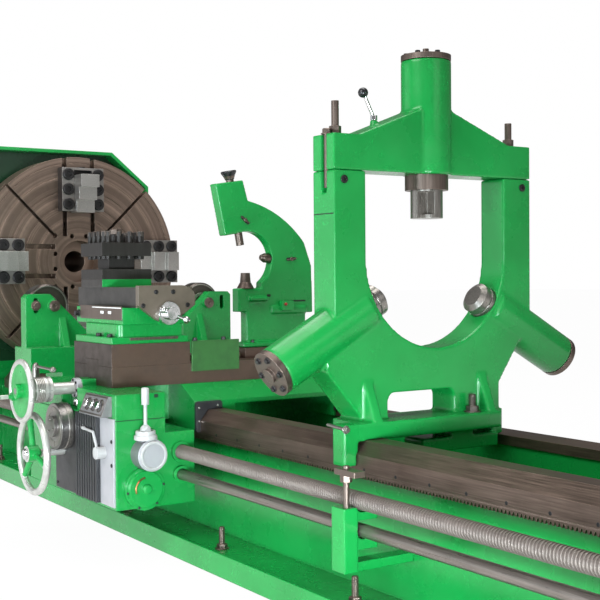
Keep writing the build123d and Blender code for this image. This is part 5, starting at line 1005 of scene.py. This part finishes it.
# Camera at the photograph's angle
LENS = 67.81
CAMERA_PLACE = (6.4259, -2.617, 1.0999)
YAW, PITCH, ROLL = (math.radians(a) for a in (33.18, 1.195, -0.423))
forward = Vector((-math.cos(YAW) * math.cos(PITCH), math.sin(YAW) * math.cos(PITCH), -math.sin(PITCH)))
level = forward.cross(Z_AXIS).normalized()
above = level.cross(forward)
right = level * math.cos(ROLL) + above * math.sin(ROLL)
up = above * math.cos(ROLL) - level * math.sin(ROLL)
camera_data = bpy.data.cameras.new("camera")
camera_data.lens = LENS
camera_data.sensor_width = 36
camera_data.clip_end = 200
camera = bpy.data.objects.new("camera", camera_data)
camera.matrix_world = Matrix.Translation(CAMERA_PLACE) @ Matrix((right, up, -forward)).transposed().to_4x4()
bpy.context.collection.objects.link(camera)
bpy.context.scene.camera = camera


# Pale floor and soft studio light
def paper(name, white):
    """Pale surface that stays near white in view and in reflections, and still takes the shadow."""
    material, tree, coords = shader(name, Roughness=0.8)
    grain = noise(coords, 3.0, 3)
    principled = tree.nodes["Principled BSDF"]
    tree.links.new(mix(grain, (0.80, 0.80, 0.80), (0.84, 0.84, 0.835)), principled.inputs["Base Color"])
    rays = put(tree, "ShaderNodeLightPath")
    seen = calc("MAXIMUM", rays.outputs["Is Camera Ray"], rays.outputs["Is Glossy Ray"])
    glow = put(tree, "ShaderNodeEmission", {"Color": (1, 1, 1, 1), "Strength": 1.0})
    blend = put(tree, "ShaderNodeMixShader",
                {0: calc("MULTIPLY", seen, white), 1: principled.outputs[0], 2: glow.outputs[0]})
    tree.links.new(blend.outputs[0], tree.nodes["Material Output"].inputs["Surface"])
    return material


FLOOR_HALF = 60
FLOOR_Z = -0.001
floor_corners = [(x * FLOOR_HALF, y * FLOOR_HALF, FLOOR_Z) for x, y in ((-1, -1), (1, -1), (1, 1), (-1, 1))]
floor_mesh = bpy.data.meshes.new("floor")
floor_mesh.from_pydata(floor_corners, [], [(0, 1, 2, 3)])
floor = bpy.data.objects.new("floor", floor_mesh)
floor_mesh.materials.append(paper("floor_paper", 0.965))
bpy.context.collection.objects.link(floor)

AMBIENT = 0.7
MIRRORED = 0.16
world = bpy.data.worlds.new("studio")
bpy.context.scene.world = world
world.use_nodes = True
tree = world.node_tree
rays = put(tree, "ShaderNodeLightPath")
shown = calc("MAXIMUM", rays.outputs["Is Camera Ray"], rays.outputs["Is Transmission Ray"])
lit = remap(rays.outputs["Is Glossy Ray"], 0, 1, AMBIENT, MIRRORED)
strength = calc("MAXIMUM", lit, shown)
tree.links.new(strength, tree.nodes["Background"].inputs["Strength"])
tree.nodes["Background"].inputs["Color"].default_value = (1, 1, 1, 1)
bpy.context.scene.view_settings.view_transform = "Standard"


def lamp(name, place, target, size, power, color=(1, 1, 1), spread=180):
    """Soft lamp aimed at a point, with its light kept within a spread in degrees."""
    data = bpy.data.lights.new(name, "AREA")
    data.shape = "RECTANGLE"
    data.size, data.size_y = size
    data.energy = power
    data.color = color
    data.spread = math.radians(spread)
    made = bpy.data.objects.new(name, data)
    made.location = place
    made.rotation_euler = (Vector(target) - Vector(place)).to_track_quat("-Z", "Y").to_euler()
    bpy.context.collection.objects.link(made)


lamp("key", (3.5, -6.5, 5.5), (2.5, 0, 0.9), (5, 3), 335)
lamp("fill", (10.5, 1.5, 4.0), (3, 0, 0.9), (4, 3), 35)
lamp("sheen", (-3.6, -6.8, 2.0), (2.6, -0.3, 0.8), (6, 3.5), 70, (0.86, 0.95, 1.0))
lamp("overhead", (2.0, 0.5, 7.0), (2.0, 0, 0.5), (7, 3), 310)
lamp("front_low", (4.4, -6.5, 0.6), (3.0, -0.4, 0.3), (4, 0.6), 290, (0.74, 0.9, 1.0))
lamp("end_low", (6.6, -1.9, 0.35), (2.4, -0.5, 0.4), (1.2, 0.3), 26, (0.8, 0.93, 1.0), 60)
